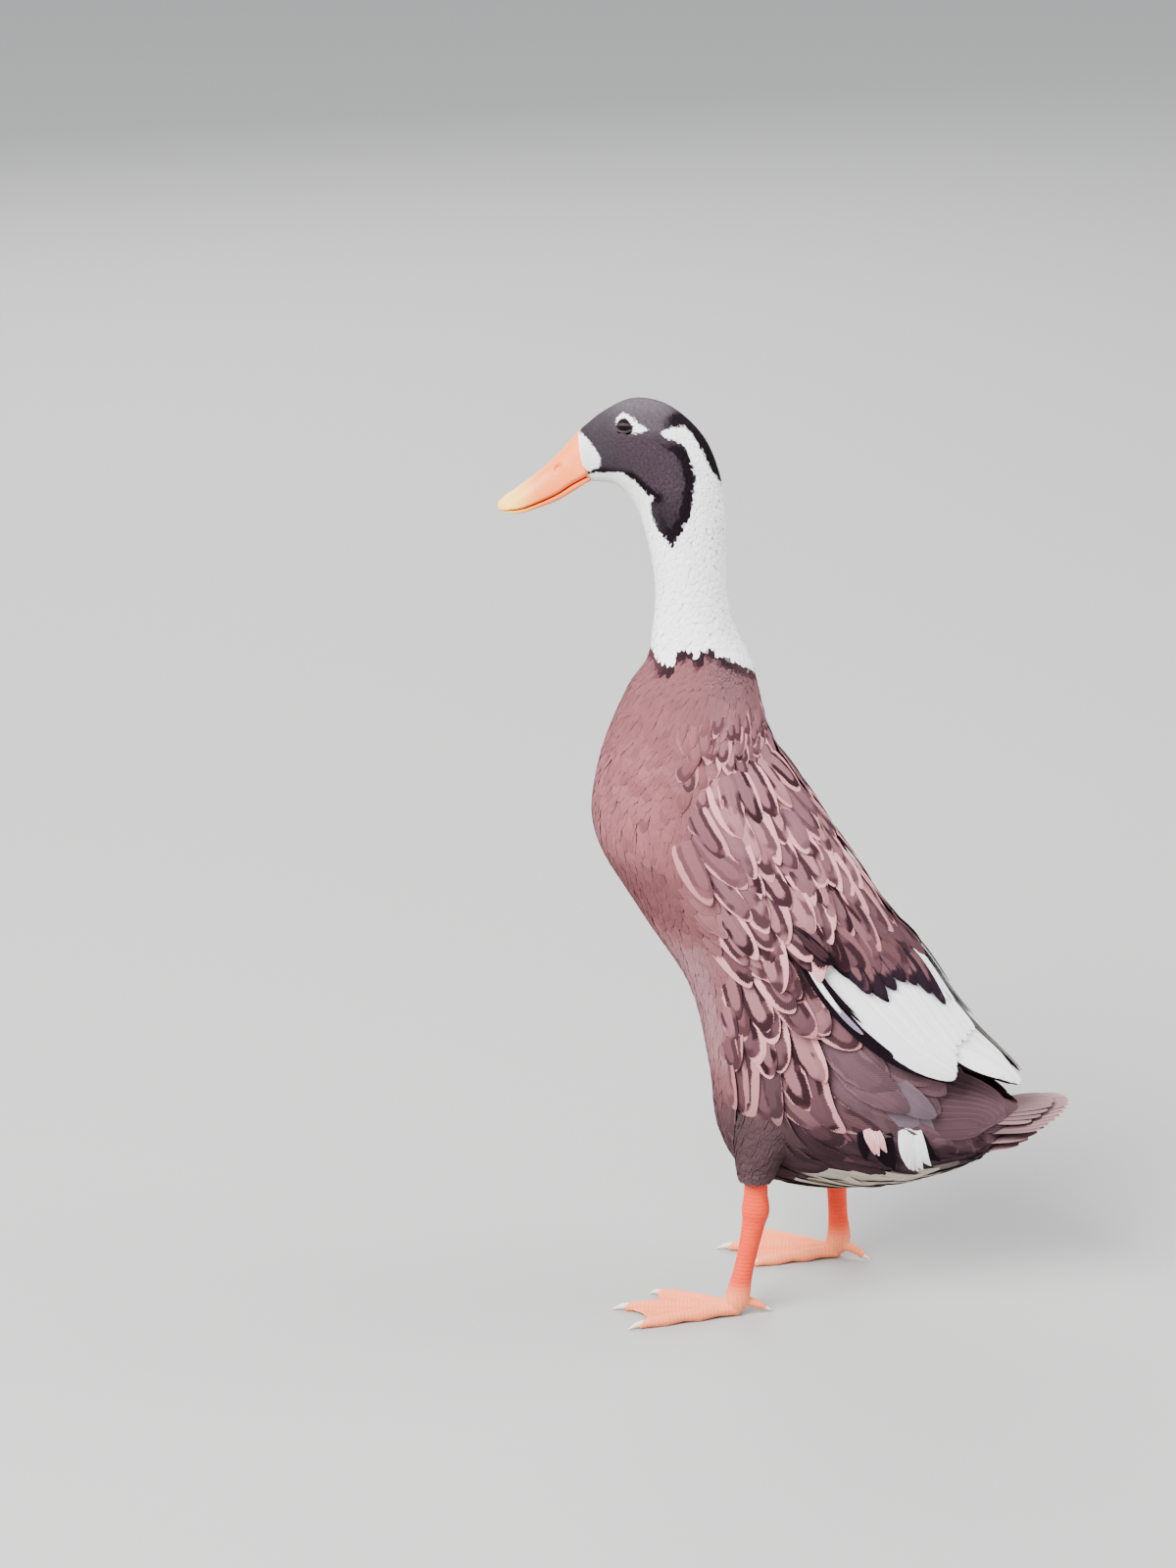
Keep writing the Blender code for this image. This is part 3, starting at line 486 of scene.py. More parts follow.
# The coat. Each small feather is a closed blade that follows the skin from its root to its tip and
# overlaps the next rows like tiles. They are tiny and flat on the face, and largest on the back
# and flanks, where their pencilling shows.
def blade_faces(count, rings, columns):
    """Faces of closed blades: quads round the rings of each, and a flat cap at its root and tip."""
    around = 2 * columns - 2
    per = rings * around
    side = grid_faces(rings, around)
    first = np.arange(count)[:, None, None] * per
    caps = np.stack([np.arange(around)[::-1], (rings - 1) * around + np.arange(around)])
    return [(first + side[None]).reshape(-1, 4)[:, ::-1], (first + caps[None]).reshape(-1, around)[:, ::-1]]


def tongue(t, root=0.55):
    """Half width of a rounded feather: it widens from its root, then closes as a half ellipse."""
    widen = root + (1 - root) * np.sin(np.clip(t / 0.35, 0, 1) * np.pi / 2)
    return widen * np.maximum(1 - (np.maximum(t - ROUND_FROM, 0) / (1 - ROUND_FROM)) ** 2, 0.004) ** 0.6


def blades(surface, start, end, lifts, half, thick, tilt, steps, columns=3, crown=0.10, shape=tongue):
    """Points and vane map of feathers on a surface.

    start and end are (station, turn) arrays, lifts the height over the surface at each step. A point
    is middle + side * half * shape(t) * c + normal * (lift + crown * half * (1 - c^2)), with c
    from -1 to 1 across, and the underside lies thick below the middle.
    """
    t = np.asarray(steps)[None, :]
    at = start[:, :1] + (end[:, :1] - start[:, :1]) * t
    turn = start[:, 1:] + (end[:, 1:] - start[:, 1:]) * t
    middle = surface(at, turn, lifts)
    normal = outward(surface, at, turn)
    along = unit(np.gradient(middle, axis=1))
    side = unit(np.cross(normal, along))
    normal = unit(np.cross(along, side))
    lean_c, lean_s = np.cos(tilt)[:, None, None], np.sin(tilt)[:, None, None]
    side, normal = side * lean_c + normal * lean_s, normal * lean_c - side * lean_s
    c = np.linspace(-1, 1, columns)
    ring_c = np.concatenate([c, c[-2:0:-1]])
    under = np.concatenate([np.zeros(columns), np.ones(columns - 2)])
    width = half[:, None] * shape(t)
    depth = np.minimum(thick, 0.9 * width[..., None] + 0.05)
    rise = crown * width[..., None] * (1 - ring_c**2) - under * depth
    points = (middle[:, :, None] + side[:, :, None] * (width[..., None] * ring_c)[..., None]
              + normal[:, :, None] * rise[..., None])
    u = 0.5 + 0.5 * shape(t)[..., None] * ring_c
    v = np.broadcast_to(t[..., None], points.shape[:3])
    vane = np.stack([np.broadcast_to(u, points.shape[:3]), v], -1)
    return points.reshape(-1, 3), vane.reshape(-1, 2)


def flat(value):
    """A size that is the same at every station, as a profile of stations and values."""
    return (0,), (value,)


def spread_rows(surface, first, last, pitch, across, turns=(-np.pi, np.pi)):
    """Roots in staggered rows from station first down to last, whose spacings are profiles."""
    at = np.linspace(first, last, 600)
    ways = np.linspace(turns[0], turns[1], 24, endpoint=False)
    spots = surface(*np.meshgrid(at, ways, indexing="ij"))
    step = np.linalg.norm(np.diff(spots, axis=0), axis=-1)
    run = np.concatenate([[0], np.cumsum(np.percentile(step, 75, axis=1) / np.interp(at[1:], *pitch))])
    row_at = np.interp(np.arange(0.3, run[-1]), run, at)
    row_spots = surface(*np.meshgrid(row_at, np.linspace(turns[0], turns[1], 65), indexing="ij"))
    girth = np.linalg.norm(np.diff(row_spots, axis=1), axis=-1).sum(-1)
    counts = np.maximum(np.round(girth / np.interp(row_at, *across)).astype(int), 3)
    row = np.repeat(np.arange(len(row_at)), counts)
    place = np.arange(len(row)) - np.repeat(np.cumsum(counts) - counts, counts)
    turn = turns[0] + (turns[1] - turns[0]) * (place + 0.5 * (row % 2) + 0.25) / counts[row]
    return row_at[row], turn


def heading(surface, at, turn, angle, length):
    """Where a feather ends: its length along the surface towards the tail, swung by an angle."""
    here = surface(at, turn)
    per_at = np.linalg.norm(surface(at - 0.02, turn) - here, axis=-1) / 0.02
    per_turn = np.linalg.norm(surface(at, turn + 0.02) - here, axis=-1) / 0.02
    return np.stack([at - np.cos(angle) * length / np.maximum(per_at, 4),
                     turn + np.sin(angle) * length / per_turn], -1)


def coat_piece(name, surface, at, turn, length, half, swing, lifts, steps, material, paint, columns=3,
               tilt=0.09, thick=0.25, crown=0.12, patch=0.006, spans=(0, BILL_BASE), half_turn=np.pi,
               aslant=0.0):
    """One piece of the coat, with a random swing, lean, size and slant of the drawing for each feather.

    It rises as root + (tip - root)(1 - (1 - t)^2.2), and takes its colours SHOWN of the way to its tip,
    because the rest is covered by the feathers in front.
    """
    count = len(at)
    noise = rng.normal(size=(count, 4))
    length = length * (1 + 0.10 * noise[:, 0])
    half = half * (1 + 0.07 * noise[:, 1])
    start = np.stack([at, turn], -1)
    end = heading(surface, at, turn, swing + 0.13 * noise[:, 2], length)
    t = np.asarray(steps)[None, :]
    root, tip = (np.broadcast_to(lift, (count,))[:, None] for lift in lifts)
    rise = root + (tip + 1.3 * tilt * np.clip(noise[:, 3:], -1, 2) - root) * (1 - (1 - t) ** 2.2)
    lean = tilt * (np.where(turn > 0, 1, -1) + 0.5 * noise[:, 3])
    points, vane = blades(surface, start, end, rise, half, thick, lean, steps, columns, crown)
    ring = len(steps) * (2 * columns - 2)
    shown = start + (end - start) * SHOWN
    edge, band, heart = paint(surface(*shown.T), *shown.T)
    faded = min(aslant * 5, 1) * rng.uniform(0, 1, (2, count))
    tones = edge, mix(band, heart, 0.8 * faded[0] ** 2), mix(heart, edge, 0.45 * faded[1] ** 2)
    vary = 1 + (0.03 + 0.25 * aslant) * rng.normal(size=(count, 1))
    tones = [np.repeat(tone * vary, ring, axis=0) for tone in tones]
    drawn = vane + np.repeat(rng.uniform(-1, 1, (count, 2)) * (aslant, aslant * 0.3), ring, axis=0)
    home = np.stack([(turn + half_turn) / (2 * half_turn), (at - spans[0]) / (spans[1] - spans[0])], -1)
    bake = np.repeat(0.01 + 0.98 * (home % 1.0001), ring, axis=0) * (1 - patch) + vane * patch
    piece = add_mesh(name, points, blade_faces(count, len(steps), columns), material,
                     {"OFBake": bake, "Vane": drawn}, dict(zip(("edge", "band", "heart"), tones)), CREASE)
    return piece


plume_fine = plumage("fine_feathers", 7.0)
plume_body = plumage("pencilled_feathers", 24.0, (0.38, 0.47), (0.80, 0.88), 0.85)
SHOWN, CREASE = 0.7, 60
BLADE_STEPS = (0.0, 0.35, 0.68, 0.88, 1.0)
LARGE_STEPS = (0.0, 0.25, 0.5, 0.68, 0.82, 0.93, 1.0)
FEATHER_STEPS = (0.0, 0.2, 0.4, 0.55, 0.68, 0.79, 0.88, 0.95, 0.985, 1.0)
HEAD_STATIONS, HEAD_LENGTHS = (14, 17, 19, 21, 23), np.array((8.5, 6.0, 4.6, 3.2, 2.2))


def clear_of_eye(spot):
    """How far outside the lids a place is: 1 on their rim, and less within."""
    off = from_eye(spot)
    return np.hypot(off[..., 1] / 5.0, off[..., 2] / 3.4) + np.maximum(np.abs(off[..., 0]) - 9, 0)


head_at, head_turn = spread_rows(body, BILL_BASE - 0.02, 17.0, (HEAD_STATIONS, HEAD_LENGTHS * 0.33),
                                 (HEAD_STATIONS, HEAD_LENGTHS * 0.32))
length = np.interp(head_at, HEAD_STATIONS, HEAD_LENGTHS)
reach = body(*heading(body, head_at, head_turn, 0.0, length * 0.9).T)
length = np.where(clear_of_eye(reach) < 1, length * 0.5, length)
reach = body(*heading(body, head_at, head_turn, 0.0, length * 0.9).T)
keep = (clear_of_eye(body(head_at, head_turn)) > 1) & (clear_of_eye(reach) > 0.95)
head_at, head_turn, length = head_at[keep], head_turn[keep], length[keep]
HEAD_PIECES = (("face_coat", 21.5, BILL_BASE), ("crown_coat", 19.8, 21.5), ("cheek_coat", 16.5, 19.8))
for name, last, first in HEAD_PIECES:
    here = (head_at >= last) & (head_at < first)
    at, turn = head_at[here], head_turn[here]
    coat_piece(name, body, at, turn, length[here], np.interp(at, HEAD_STATIONS, HEAD_LENGTHS) * 0.24, 0.0,
               (-coat_depth(at) - 0.3, -0.1), BLADE_STEPS, plume_fine, markings,
               tilt=0.03, thick=0.12, crown=0.08, patch=0.004, spans=(16.5, BILL_BASE))

at, turn = spread_rows(body, 17.1, 13.0, flat(2.4), flat(2.2))
coat_piece("neck_coat", body, at, turn, np.interp(at, (13, 17), (11.0, 6.5)),
           np.interp(at, (13, 17), (2.4, 1.6)),
           0.0, (-coat_depth(at) - 0.3, 0.0), BLADE_STEPS, plume_fine, markings, tilt=0.03,
           thick=0.12, crown=0.08, spans=(12.5, 17.2))


WING_LOW_EDGE = np.array([  # (station, degrees from the back) of the lower edge of the folded wing
    (4.3, 51), (5.35, 56), (5.94, 59.5), (6.55, 65), (7.26, 69), (8, 85), (9, 95), (10, 92), (11, 72),
])


def body_coat(name, first, last, along, across, length, tips, spans, patch, where, steps=FEATHER_STEPS,
              columns=5, share=0.8, tilt=0.09, crown=0.1, aslant=0.2, thick=0.2, paint=markings,
              shorter=0.0):
    """Feathers of the body between two stations, left out where the wing lies over them.

    along, across, length and tips (the lift of the tips) are profiles over the stations.
    """
    at, turn = spread_rows(body, first, last, along, across)
    gap = np.abs(turn) - np.radians(np.interp(at, *WING_LOW_EDGE.T))
    hidden = (at > 4.7) & (at < 10.2) & (np.abs(turn) > np.radians(24)) & (gap < -0.12)
    keep = where(at, turn) & ~hidden
    at, turn, gap = at[keep], turn[keep], gap[keep]
    pocket = ease(-0.16, -0.02, gap) * ease(0.36, 0.12, gap) * ease(4.4, 5.0, at) * ease(10.0, 9.0, at)
    belly = 1 - shorter * ease(2.0, 2.9, np.abs(turn)) * ease(5, 7, at)
    return coat_piece(name, body, at, turn, np.interp(at, *length) * belly * (1 + 0.15 * pocket),
                      np.interp(at, *across) * share, -0.16 * pocket * np.sign(turn),
                      (-coat_depth(at) - 0.5, np.interp(at, *tips) + 6.0 * pocket), steps, plume_body,
                      paint, columns, tilt, thick, crown, patch, spans, aslant=aslant)


def plain_markings(spot, at, turn):
    """The markings of feathers without a drawing: their three colours drawn together."""
    tones = markings(spot, at, turn)
    mean = tones[0] * 0.3 + tones[1] * 0.2 + tones[2] * 0.5
    return [mix(tone, mean, 0.9) for tone in tones]


def plain_line(at):
    """Where the plain breast begins, as an angle from the back."""
    return np.radians(np.interp(at, *PLAIN_FRONT.T))


SHOULDER_STATIONS, FLANK_STATIONS = (9, 11, 12.6), (0.3, 3.5, 5, 7, 9)
body_coat("breast_coat", 13.05, 5.0, ((9, 13), (4.8, 3.0)), ((9, 13), (4.6, 3.0)),
          ((8, 10, 13), (28, 24, 13)), flat(0.0), (4.5, 13.1), 0.006,
          lambda at, turn: (np.abs(turn) > plain_line(at) - 0.25) | (at > 12.0), LARGE_STEPS, 3,
          share=1.05, tilt=0.02, crown=0.02, aslant=0.0, thick=0.1, paint=plain_markings)
body_coat("shoulder_coat", 12.2, 8.9, (SHOULDER_STATIONS, (20, 12, 5.0)),
          (SHOULDER_STATIONS, (10.5, 8.0, 4.6)), (SHOULDER_STATIONS, (50, 32, 15)), flat(0.2),
          (8.5, 13.1), 0.012, lambda at, turn: np.abs(turn) < plain_line(at) - 0.12)
body_coat("back_coat", 11.7, 7.4, flat(15), flat(10), flat(42), ((10.9, 11.7), (5.4, 1.0)), (7, 11.9), 0.012,
          lambda at, turn: np.abs(turn) < 0.32)
body_coat("flank_coat", 8.95, 0.35, (FLANK_STATIONS, (8, 11, 20, 22, 19)),
          (FLANK_STATIONS, (8, 9.5, 12, 12, 11)), ((0.3, 2, 4, 5, 8), (24, 28, 40, 54, 54)), flat(0.3),
          (0, 9.1), 0.018, lambda at, turn: (np.abs(turn) < plain_line(at) - 0.1) | (at < 5.2), shorter=0.4)


# Wings. Each is a folded arm of flesh with its quills laid back over it: primaries lowest, then the
# white secondaries, brown coverts over their roots, long tertials and the scapulars on top. They
# lie on a mantle, the outer surface from the shoulders to the wing tips.
MANTLE = np.array([
    (-115, 343, -9, 362, 58, 0),
    (-117, 298, 2, 339, 63, 0),
    (-90, 252, 20, 311, 65, 0),
    (-59, 203, 39, 283, 65, 0),
    (-46, 150, 60, 252, 65, 0),
    (-35, 110, 82, 228, 64, 0),
    (0, 95, 101, 200, 59, 0),
    (50, 95, 120, 178, 48, 0),
    (88, 108, 135, 163, 35, 0),
    (112, 120, 149, 149, 22, 0),
], float)
WING_FRONT, WING_REAR = 0.1, 6.7


def mantle(at, turn, lift=0.0):
    """A place on the wings' outside, as body() gives it for the coat."""
    return body(at, turn, lift, MANTLE)


def quill_shape(t):
    """Half width of a long feather: even along its vane, closing to a blunt point."""
    widen = 0.45 + 0.55 * np.sin(np.clip(t / 0.25, 0, 1) * np.pi / 2)
    return widen * np.sqrt(np.maximum(1 - (np.maximum(t - ROUND_FROM, 0) / (1 - ROUND_FROM)) ** 3, 0.002))


def leaf(t):
    """Half width of a tuft's feather, narrow at both ends."""
    return np.sin(np.clip(t * 0.94 + 0.05, 0, 1) * np.pi) ** 0.8


plume_quill = plumage("quill_feathers", 60.0, band=(0.55, 0.75), edge=(0.84, 0.95), shaft_line=0.5)
plume_large = plumage("scapular_feathers", 30.0, (0.38, 0.47), (0.80, 0.88), 0.85)
QUILL_STEPS = tuple(np.linspace(0, 0.5, 8)) + tuple(np.linspace(0.56, 0.9, 7)) + (0.95, 0.98, 1.0)


QUILL_COLUMNS = 7


def long_feathers(name, surface, start, end, rise, half, lean, tones, material, vary, crown, shape):
    """Long feathers in three tones, each with a cell of its own in the map for the bake."""
    count, ring = len(start), len(QUILL_STEPS) * (2 * QUILL_COLUMNS - 2)
    points, vane = blades(surface, start, end, rise, half, 0.35, lean, QUILL_STEPS, QUILL_COLUMNS, crown,
                          shape)
    cells = int(math.ceil(math.sqrt(count)))
    cell = np.stack([np.arange(count) % cells, np.arange(count) // cells], -1) / cells
    bake = np.repeat(cell, ring, axis=0) + (0.04 + 0.92 * vane) / cells
    shade = 1 + vary * rng.normal(size=(count, 1))
    paint = [np.repeat(tone * shade, ring, axis=0) for tone in tones]
    piece = add_mesh(name, points, blade_faces(count, len(QUILL_STEPS), QUILL_COLUMNS), material,
                     {"OFBake": bake, "Vane": vane}, dict(zip(("edge", "band", "heart"), paint)), CREASE)
    return piece


def quills(name, side, roots, tips, half, lifts, tones, material, count, tilt=7.0, shape=quill_shape,
           crown=0.07, surface=mantle):
    """A row of long feathers, whose roots and tips lie along two lines of (station, degrees) points."""
    share = np.linspace(0, 1, count)
    start, end = (np.stack([np.interp(share, np.linspace(0, 1, len(line)), column)
                            for column in np.transpose(line)], -1) for line in (roots, tips))
    end = end + rng.normal(size=end.shape) * (0.05, 0.8) * 0.35
    start, end = start * (1, side * np.pi / 180), end * (1, side * np.pi / 180)
    t = np.asarray(QUILL_STEPS)[None, :]
    rise = lifts[0] + (lifts[1] - lifts[0]) * (1 - (1 - t) ** 1.6)
    rise = rise + 0.25 * rng.normal(size=(count, 1)) * t**2
    lean = np.full(count, math.radians(tilt) * side)
    wide = np.interp(share, (0, 1), half)
    return long_feathers(name, surface, start, end, rise, wide, lean, tones, material, 0.04,
                         crown, shape)


TERTIAL_BROWN = np.array((0.125, 0.055, 0.062))
RUMP = np.array([
    (28, 74, 93, 177, 51, 0),
    (72, 77, 104, 160, 40, 0),
    (104, 90, 119, 147, 30, 0),
    (126, 104, 134, 135, 21, 0),
    (148, 117, 148, 125, 7, 0),
], float)


def rump(at, turn, lift=0.0):
    """The body's rear, counted from its station 4 backwards to a point past the root of the tail."""
    return body(at, turn, lift, RUMP)


def towards_tail(at, turn, lift=0.0):
    """The mantle counted from its rear, so that feathers head for the tail."""
    return mantle(9 - at, turn, lift)


def wing_paint(spot, at, turn):
    """The body's markings, from the station beside each place on the wing, with dark edges at its rear."""
    edge, band, heart = markings(spot, at + 2, turn)
    return mix(edge, DARK_BAND * 1.6, 0.9 * ease(3.55, 4.1, 9 - at)), band, heart


COVERT_REAR = np.array([(0, 4.1), (12, 4.0), (45, 3.4), (60, 2.9), (80, 2.7), (100, 2.9)])
COVERT_LOW = np.array([(-0.4, 40), (0.1, 66), (0.6, 90), (1.2, 98), (3.2, 90)])
COVERT_TOP = np.array([(-0.4, 8), (0.3, 2), (1.0, 2), (3.0, 5), (4.2, 8)])
COVERT_STATIONS, SIZE_STATIONS = (-0.4, 1, 4), (-0.4, 0.5, 1.5, 4)
ARM_EDGES = np.array([(30.0, 74), (12, 98), (8, 98), (7, 84), (7, 68), (7, 60), (9, 54)])
BLACK = (RIM_BLACK,) * 3
# A row of quills: name, roots, tips, half widths at both ends, lifts of root and tip over the mantle,
# (edge, band, heart) tones, material, how many, and what differs from the usual quill.
WING_QUILLS = (
    ("primaries", ((5.6, 38), (5.5, 12)), ((8.35, 35), (8.95, 29), (8.9, 22), (8.2, 11)), (4.6, 4.6),
     (-3.0, -0.6), (WHITE * 0.9, WHITE, WHITE), plume_quill, 9, {}),
    ("primary_rims", ((5.9, 43), (6.1, 40)), ((8.7, 37), (8.95, 31.5)), (2.6, 2.6), (-4.0, -1.6),
     (RIM_BLACK, RIM_BLACK, RIM_BLACK * 3), plume_quill, 2, {}),
    ("secondaries", ((3.3, 58.5), (4.2, 14)), ((7.05, 54.5), (6.95, 48), (6.7, 38), (6.8, 11)), (6.4, 6.6),
     (-3.0, 1.0), (WHITE * 0.94, WHITE, WHITE), plume_quill, 13, {}),
    ("secondary_rims", ((3.1, 72.5), (3.0, 70)), ((7.2, 57.4), (5.9, 60.3)), (1.7, 2.0), (-2.6, 0.2), BLACK,
     plume_quill, 2, {}),
    ("slate_line", ((4.0, 66.9), (4.0, 66.7)), ((5.05, 63.2), (5.0, 62.8)), (1.6, 1.6), (0.4, 1.2),
     (SLATE * 1.6, SLATE * 1.6, SLATE * 1.5), plume_quill, 1, {}),
    ("white_line", ((3.3, 69), (3.3, 69)), ((4.45, 65.3), (4.45, 65.3)), (1.7, 1.7), (0.6, 1.4),
     (WHITE * 0.9, WHITE * 0.9, WHITE), plume_quill, 1, {}),
    ("black_line", ((3.5, 66.2), (3.5, 65.8)), ((4.85, 60.6), (4.7, 60.2)), (1.0, 0.8), (1.4, 1.9), BLACK,
     plume_quill, 2, {}),
    ("greater_coverts", ((2.2, 76), (3.2, 30)), ((3.62, 68), (3.80, 54), (4.3, 50), (4.6, 30)), (6.4, 7.4),
     (-3.0, 1.9), (DARK_BAND * 1.6, DARK_BAND, MID_BROWN), plume_large, 9, {"shape": tongue}),
    ("covert_rims", ((2.4, 64), (3.1, 48)), ((3.68, 60.5), (3.86, 54), (4.45, 50.6), (5.0, 45)), (5.0, 5.0),
     (-3.4, 1.5), (RIM_BLACK, RIM_BLACK, RIM_BLACK * 2), plume_quill, 5, {"shape": tongue}),
    ("inner_tertials", ((3.2, 9), (3.3, 5)), ((6.0, 13), (6.1, 8)), (3.2, 3.0), (-2.5, 2.2),
     (WHITE * 0.9, WHITE, WHITE), plume_quill, 2, {}),
    ("tertials", ((3.0, 46), (3.3, 12)), ((4.62, 50), (5.0, 44.5), (4.95, 35), (5.1, 29), (5.5, 24),
                                          (5.95, 18)), (5.4, 5.6), (-3.0, 2.6),
     (RIM_BLACK * 2, RIM_BLACK * 2.5, TERTIAL_BROWN), plume_large, 7, {}),
    ("covert_spot", ((2.9, 68), (2.9, 67)), ((3.72, 58.5), (3.70, 57.5)), (3.3, 3.3), (1.0, 4.4),
     (RIM_BLACK, RIM_BLACK, MID_BROWN * 0.5), plume_quill, 2, {"shape": tongue}),
    ("black_spot", ((3.40, 61.5), (3.40, 61)), ((3.74, 57.8), (3.72, 57.2)), (3.2, 3.2), (2.6, 4.8), BLACK,
     plume_quill, 2, {"shape": tongue}),
)
ON_RUMP, ON_VENT = {"surface": rump, "crown": 0.05}, {"surface": body, "shape": leaf}
TUFT = {**ON_VENT, "tilt": 4.0, "crown": 0.1}
REAR_QUILLS = (
    ("rump_feathers", ((0.5, 30), (0.4, 80)), ((3.2, 26), (3.3, 55), (2.7, 78)), (7.5, 7.5), (-4.0, 1.6),
     (RUMP_BROWN * 1.15, RUMP_BROWN * 0.9, RUMP_BROWN), plume_quill, 9, ON_RUMP),
    ("rump_points", ((1.6, 34), (1.5, 70)), ((3.85, 30), (3.95, 52), (3.8, 70)), (6.5, 6.5), (-4.0, 0.6),
     (RUMP_BROWN * 1.1, RUMP_BROWN * 0.85, RUMP_BROWN), plume_quill, 7, ON_RUMP),
    # black quills that stand in for the painted shadow along the rump's lower edge, where it overhangs the
    # tail
    ("rump_shadow_quills", ((1.5, 76), (1.4, 80)), ((3.85, 66), (3.7, 76)), (4.0, 4.0), (-4.6, -0.4),
     (RIM_BLACK, RIM_BLACK, VENT_BROWN), plume_quill, 3, {"surface": rump}),
    # black quills that stand in for the painted shade in the pocket beside the vent tuft
    ("vent_shades", ((4.05, 78), (3.50, 72)), ((3.32, 113), (2.55, 105)), (4.0, 3.6), (-1.5, 3.6), BLACK,
     plume_quill, 2, ON_VENT),
    ("vent_tuft", ((3.80, 71), (3.52, 70)), ((3.12, 106), (3.00, 112), (2.86, 114), (2.72, 108)), (3.4, 3.6),
     (-1.5, 4.6), (WHITE, WHITE * 0.97, WHITE), plume_quill, 6, TUFT),
    # black quills that stand in for the painted shade beside the flank tuft
    ("flank_shade", ((4.42, 84), (4.2, 86)), ((3.9, 107), (3.45, 111)), (3.2, 3.2), (-1.5, 3.0), BLACK,
     plume_quill, 2, ON_VENT),
    ("flank_tuft", ((4.36, 84), (4.20, 84)), ((3.86, 99), (3.78, 102), (3.68, 98)), (2.7, 2.7), (-1.5, 4.2),
     (WHITE * 0.95, PALE_EDGE * 1.2, PALE_EDGE * 1.25), plume_quill, 4, TUFT),
)


def shell_faces(rows, columns):
    """Faces of a closed shell: a grid of points, a second one behind it, and the wall between them."""
    walk = np.concatenate([np.arange(columns), np.arange(1, rows) * columns + columns - 1,
                           (rows - 1) * columns + np.arange(columns - 2, -1, -1),
                           np.arange(rows - 2, 0, -1) * columns])
    onward = np.roll(walk, -1)
    inner = rows * columns
    sheet = grid_faces(rows, columns, wrap=False)
    return np.concatenate([sheet[:, ::-1], sheet + inner,
                           np.stack([walk, onward, onward + inner, walk + inner], -1)])


for side, tag in ((1, "left"), (-1, "right")):
    rows, columns = 60, 30
    share, across = np.meshgrid(np.linspace(0, 1, rows), np.linspace(0, 1, columns), indexing="ij")
    top, low = np.moveaxis(read_rows(ARM_EDGES, share * 6), -1, 0)
    core_at = WING_FRONT + (WING_REAR - WING_FRONT) * share
    core_turn = np.radians(top + (low - top) * across) * side
    rim = np.maximum(np.abs(2 * share - 1), np.abs(2 * across - 1)) ** 4
    core_points = np.concatenate([mantle(core_at, core_turn, lift).reshape(-1, 3)
                                  for lift in (-2.6 - 8.5 * rim, -14.0)])
    arm = add_mesh(f"wing_arm_{tag}", core_points, [shell_faces(rows, columns)[:, ::-side]], skin_paint,
                   {"OFBake": np.tile(np.stack([share.ravel(), across.ravel() * 0.48], -1), (2, 1))
                    + np.repeat([(0, 0), (0, 0.5)], rows * columns, axis=0)},
                   {"edge": np.broadcast_to(MID_BROWN * 0.6, core_points.shape)})
    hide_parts(f"wing_{tag}")
    for name, roots, tips, half, lifts, tones, material, count, unusual in WING_QUILLS:
        quills(f"{name}_{tag}", side, roots, tips, half, lifts, tones, material, count, **unusual)
    at, turn = spread_rows(mantle, -0.4, 4.2, (SIZE_STATIONS, (10, 14, 20, 24)),
                           (COVERT_STATIONS, (8, 10, 11)), (0, np.radians(100)))
    degrees = np.degrees(turn)
    keep = (at < np.interp(degrees, *COVERT_REAR.T)) & (degrees < np.interp(at, *COVERT_LOW.T)) & (
        degrees > np.interp(at, *COVERT_TOP.T))
    at, turn = at[keep], turn[keep] * side
    size = np.interp(at, SIZE_STATIONS, (28, 38, 52, 60)) * np.interp(np.abs(turn), (0.5, 1.5), (1.0, 0.9))
    coat_piece(f"wing_coverts_{tag}", towards_tail, 9 - at, turn, size,
               np.interp(at, COVERT_STATIONS, (6.4, 8.0, 8.8)), 0.0, (-5.0, 2.2), FEATHER_STEPS, plume_large,
               wing_paint, 5, thick=0.22, patch=0.02, spans=(0, 9.5), half_turn=np.pi / 1.5,
               tilt=0.10, aslant=0.2)
    for name, roots, tips, half, lifts, tones, material, count, unusual in REAR_QUILLS:
        quills(f"{name}_{tag}", side, roots, tips, half, lifts, tones, material, count, **unusual)


# Tail. A short fan of stiff brown feathers, whose roots sink into the stump of the tail, with
# coverts over and under them.
TAIL_SLOPE, TAIL_HINGE = 15.0, (96.0, 108.5)
TAIL_TONE = np.array((0.20, 0.118, 0.124))


def tail_sheet(at, turn, lift=0.0):
    """A flat fan: at is the distance back from its hinge, turn its angle, and lift the height."""
    rise = math.tan(math.radians(TAIL_SLOPE)) * at + lift - 18.0 * turn**2 * at / 60
    return np.stack([at * np.sin(turn), TAIL_HINGE[0] + at * np.cos(turn), TAIL_HINGE[1] + rise], -1)


def fan(name, count, spread, root, tip, lifts, half, edge, heart):
    """A fan of feathers from a root distance to a tip distance, shorter at the sides."""
    share = np.linspace(-1, 1, count)
    angle = np.radians(spread) * share
    start = np.stack([np.full(count, root), angle * 0.8], -1)
    end = np.stack([tip * (1 - 0.13 * share**2), angle], -1)
    t = np.asarray(QUILL_STEPS)[None, :]
    rise = lifts[0] + (lifts[1] - lifts[0]) * t + 0.3 * (1 - np.abs(share[:, None]))
    lean = -np.radians(8.0) * np.where(share > 0, 1, -1)
    return long_feathers(name, tail_sheet, start, end, rise, np.full(count, half), lean,
                         (edge, heart, heart), plume_quill, 0.08, 0.07, quill_shape)


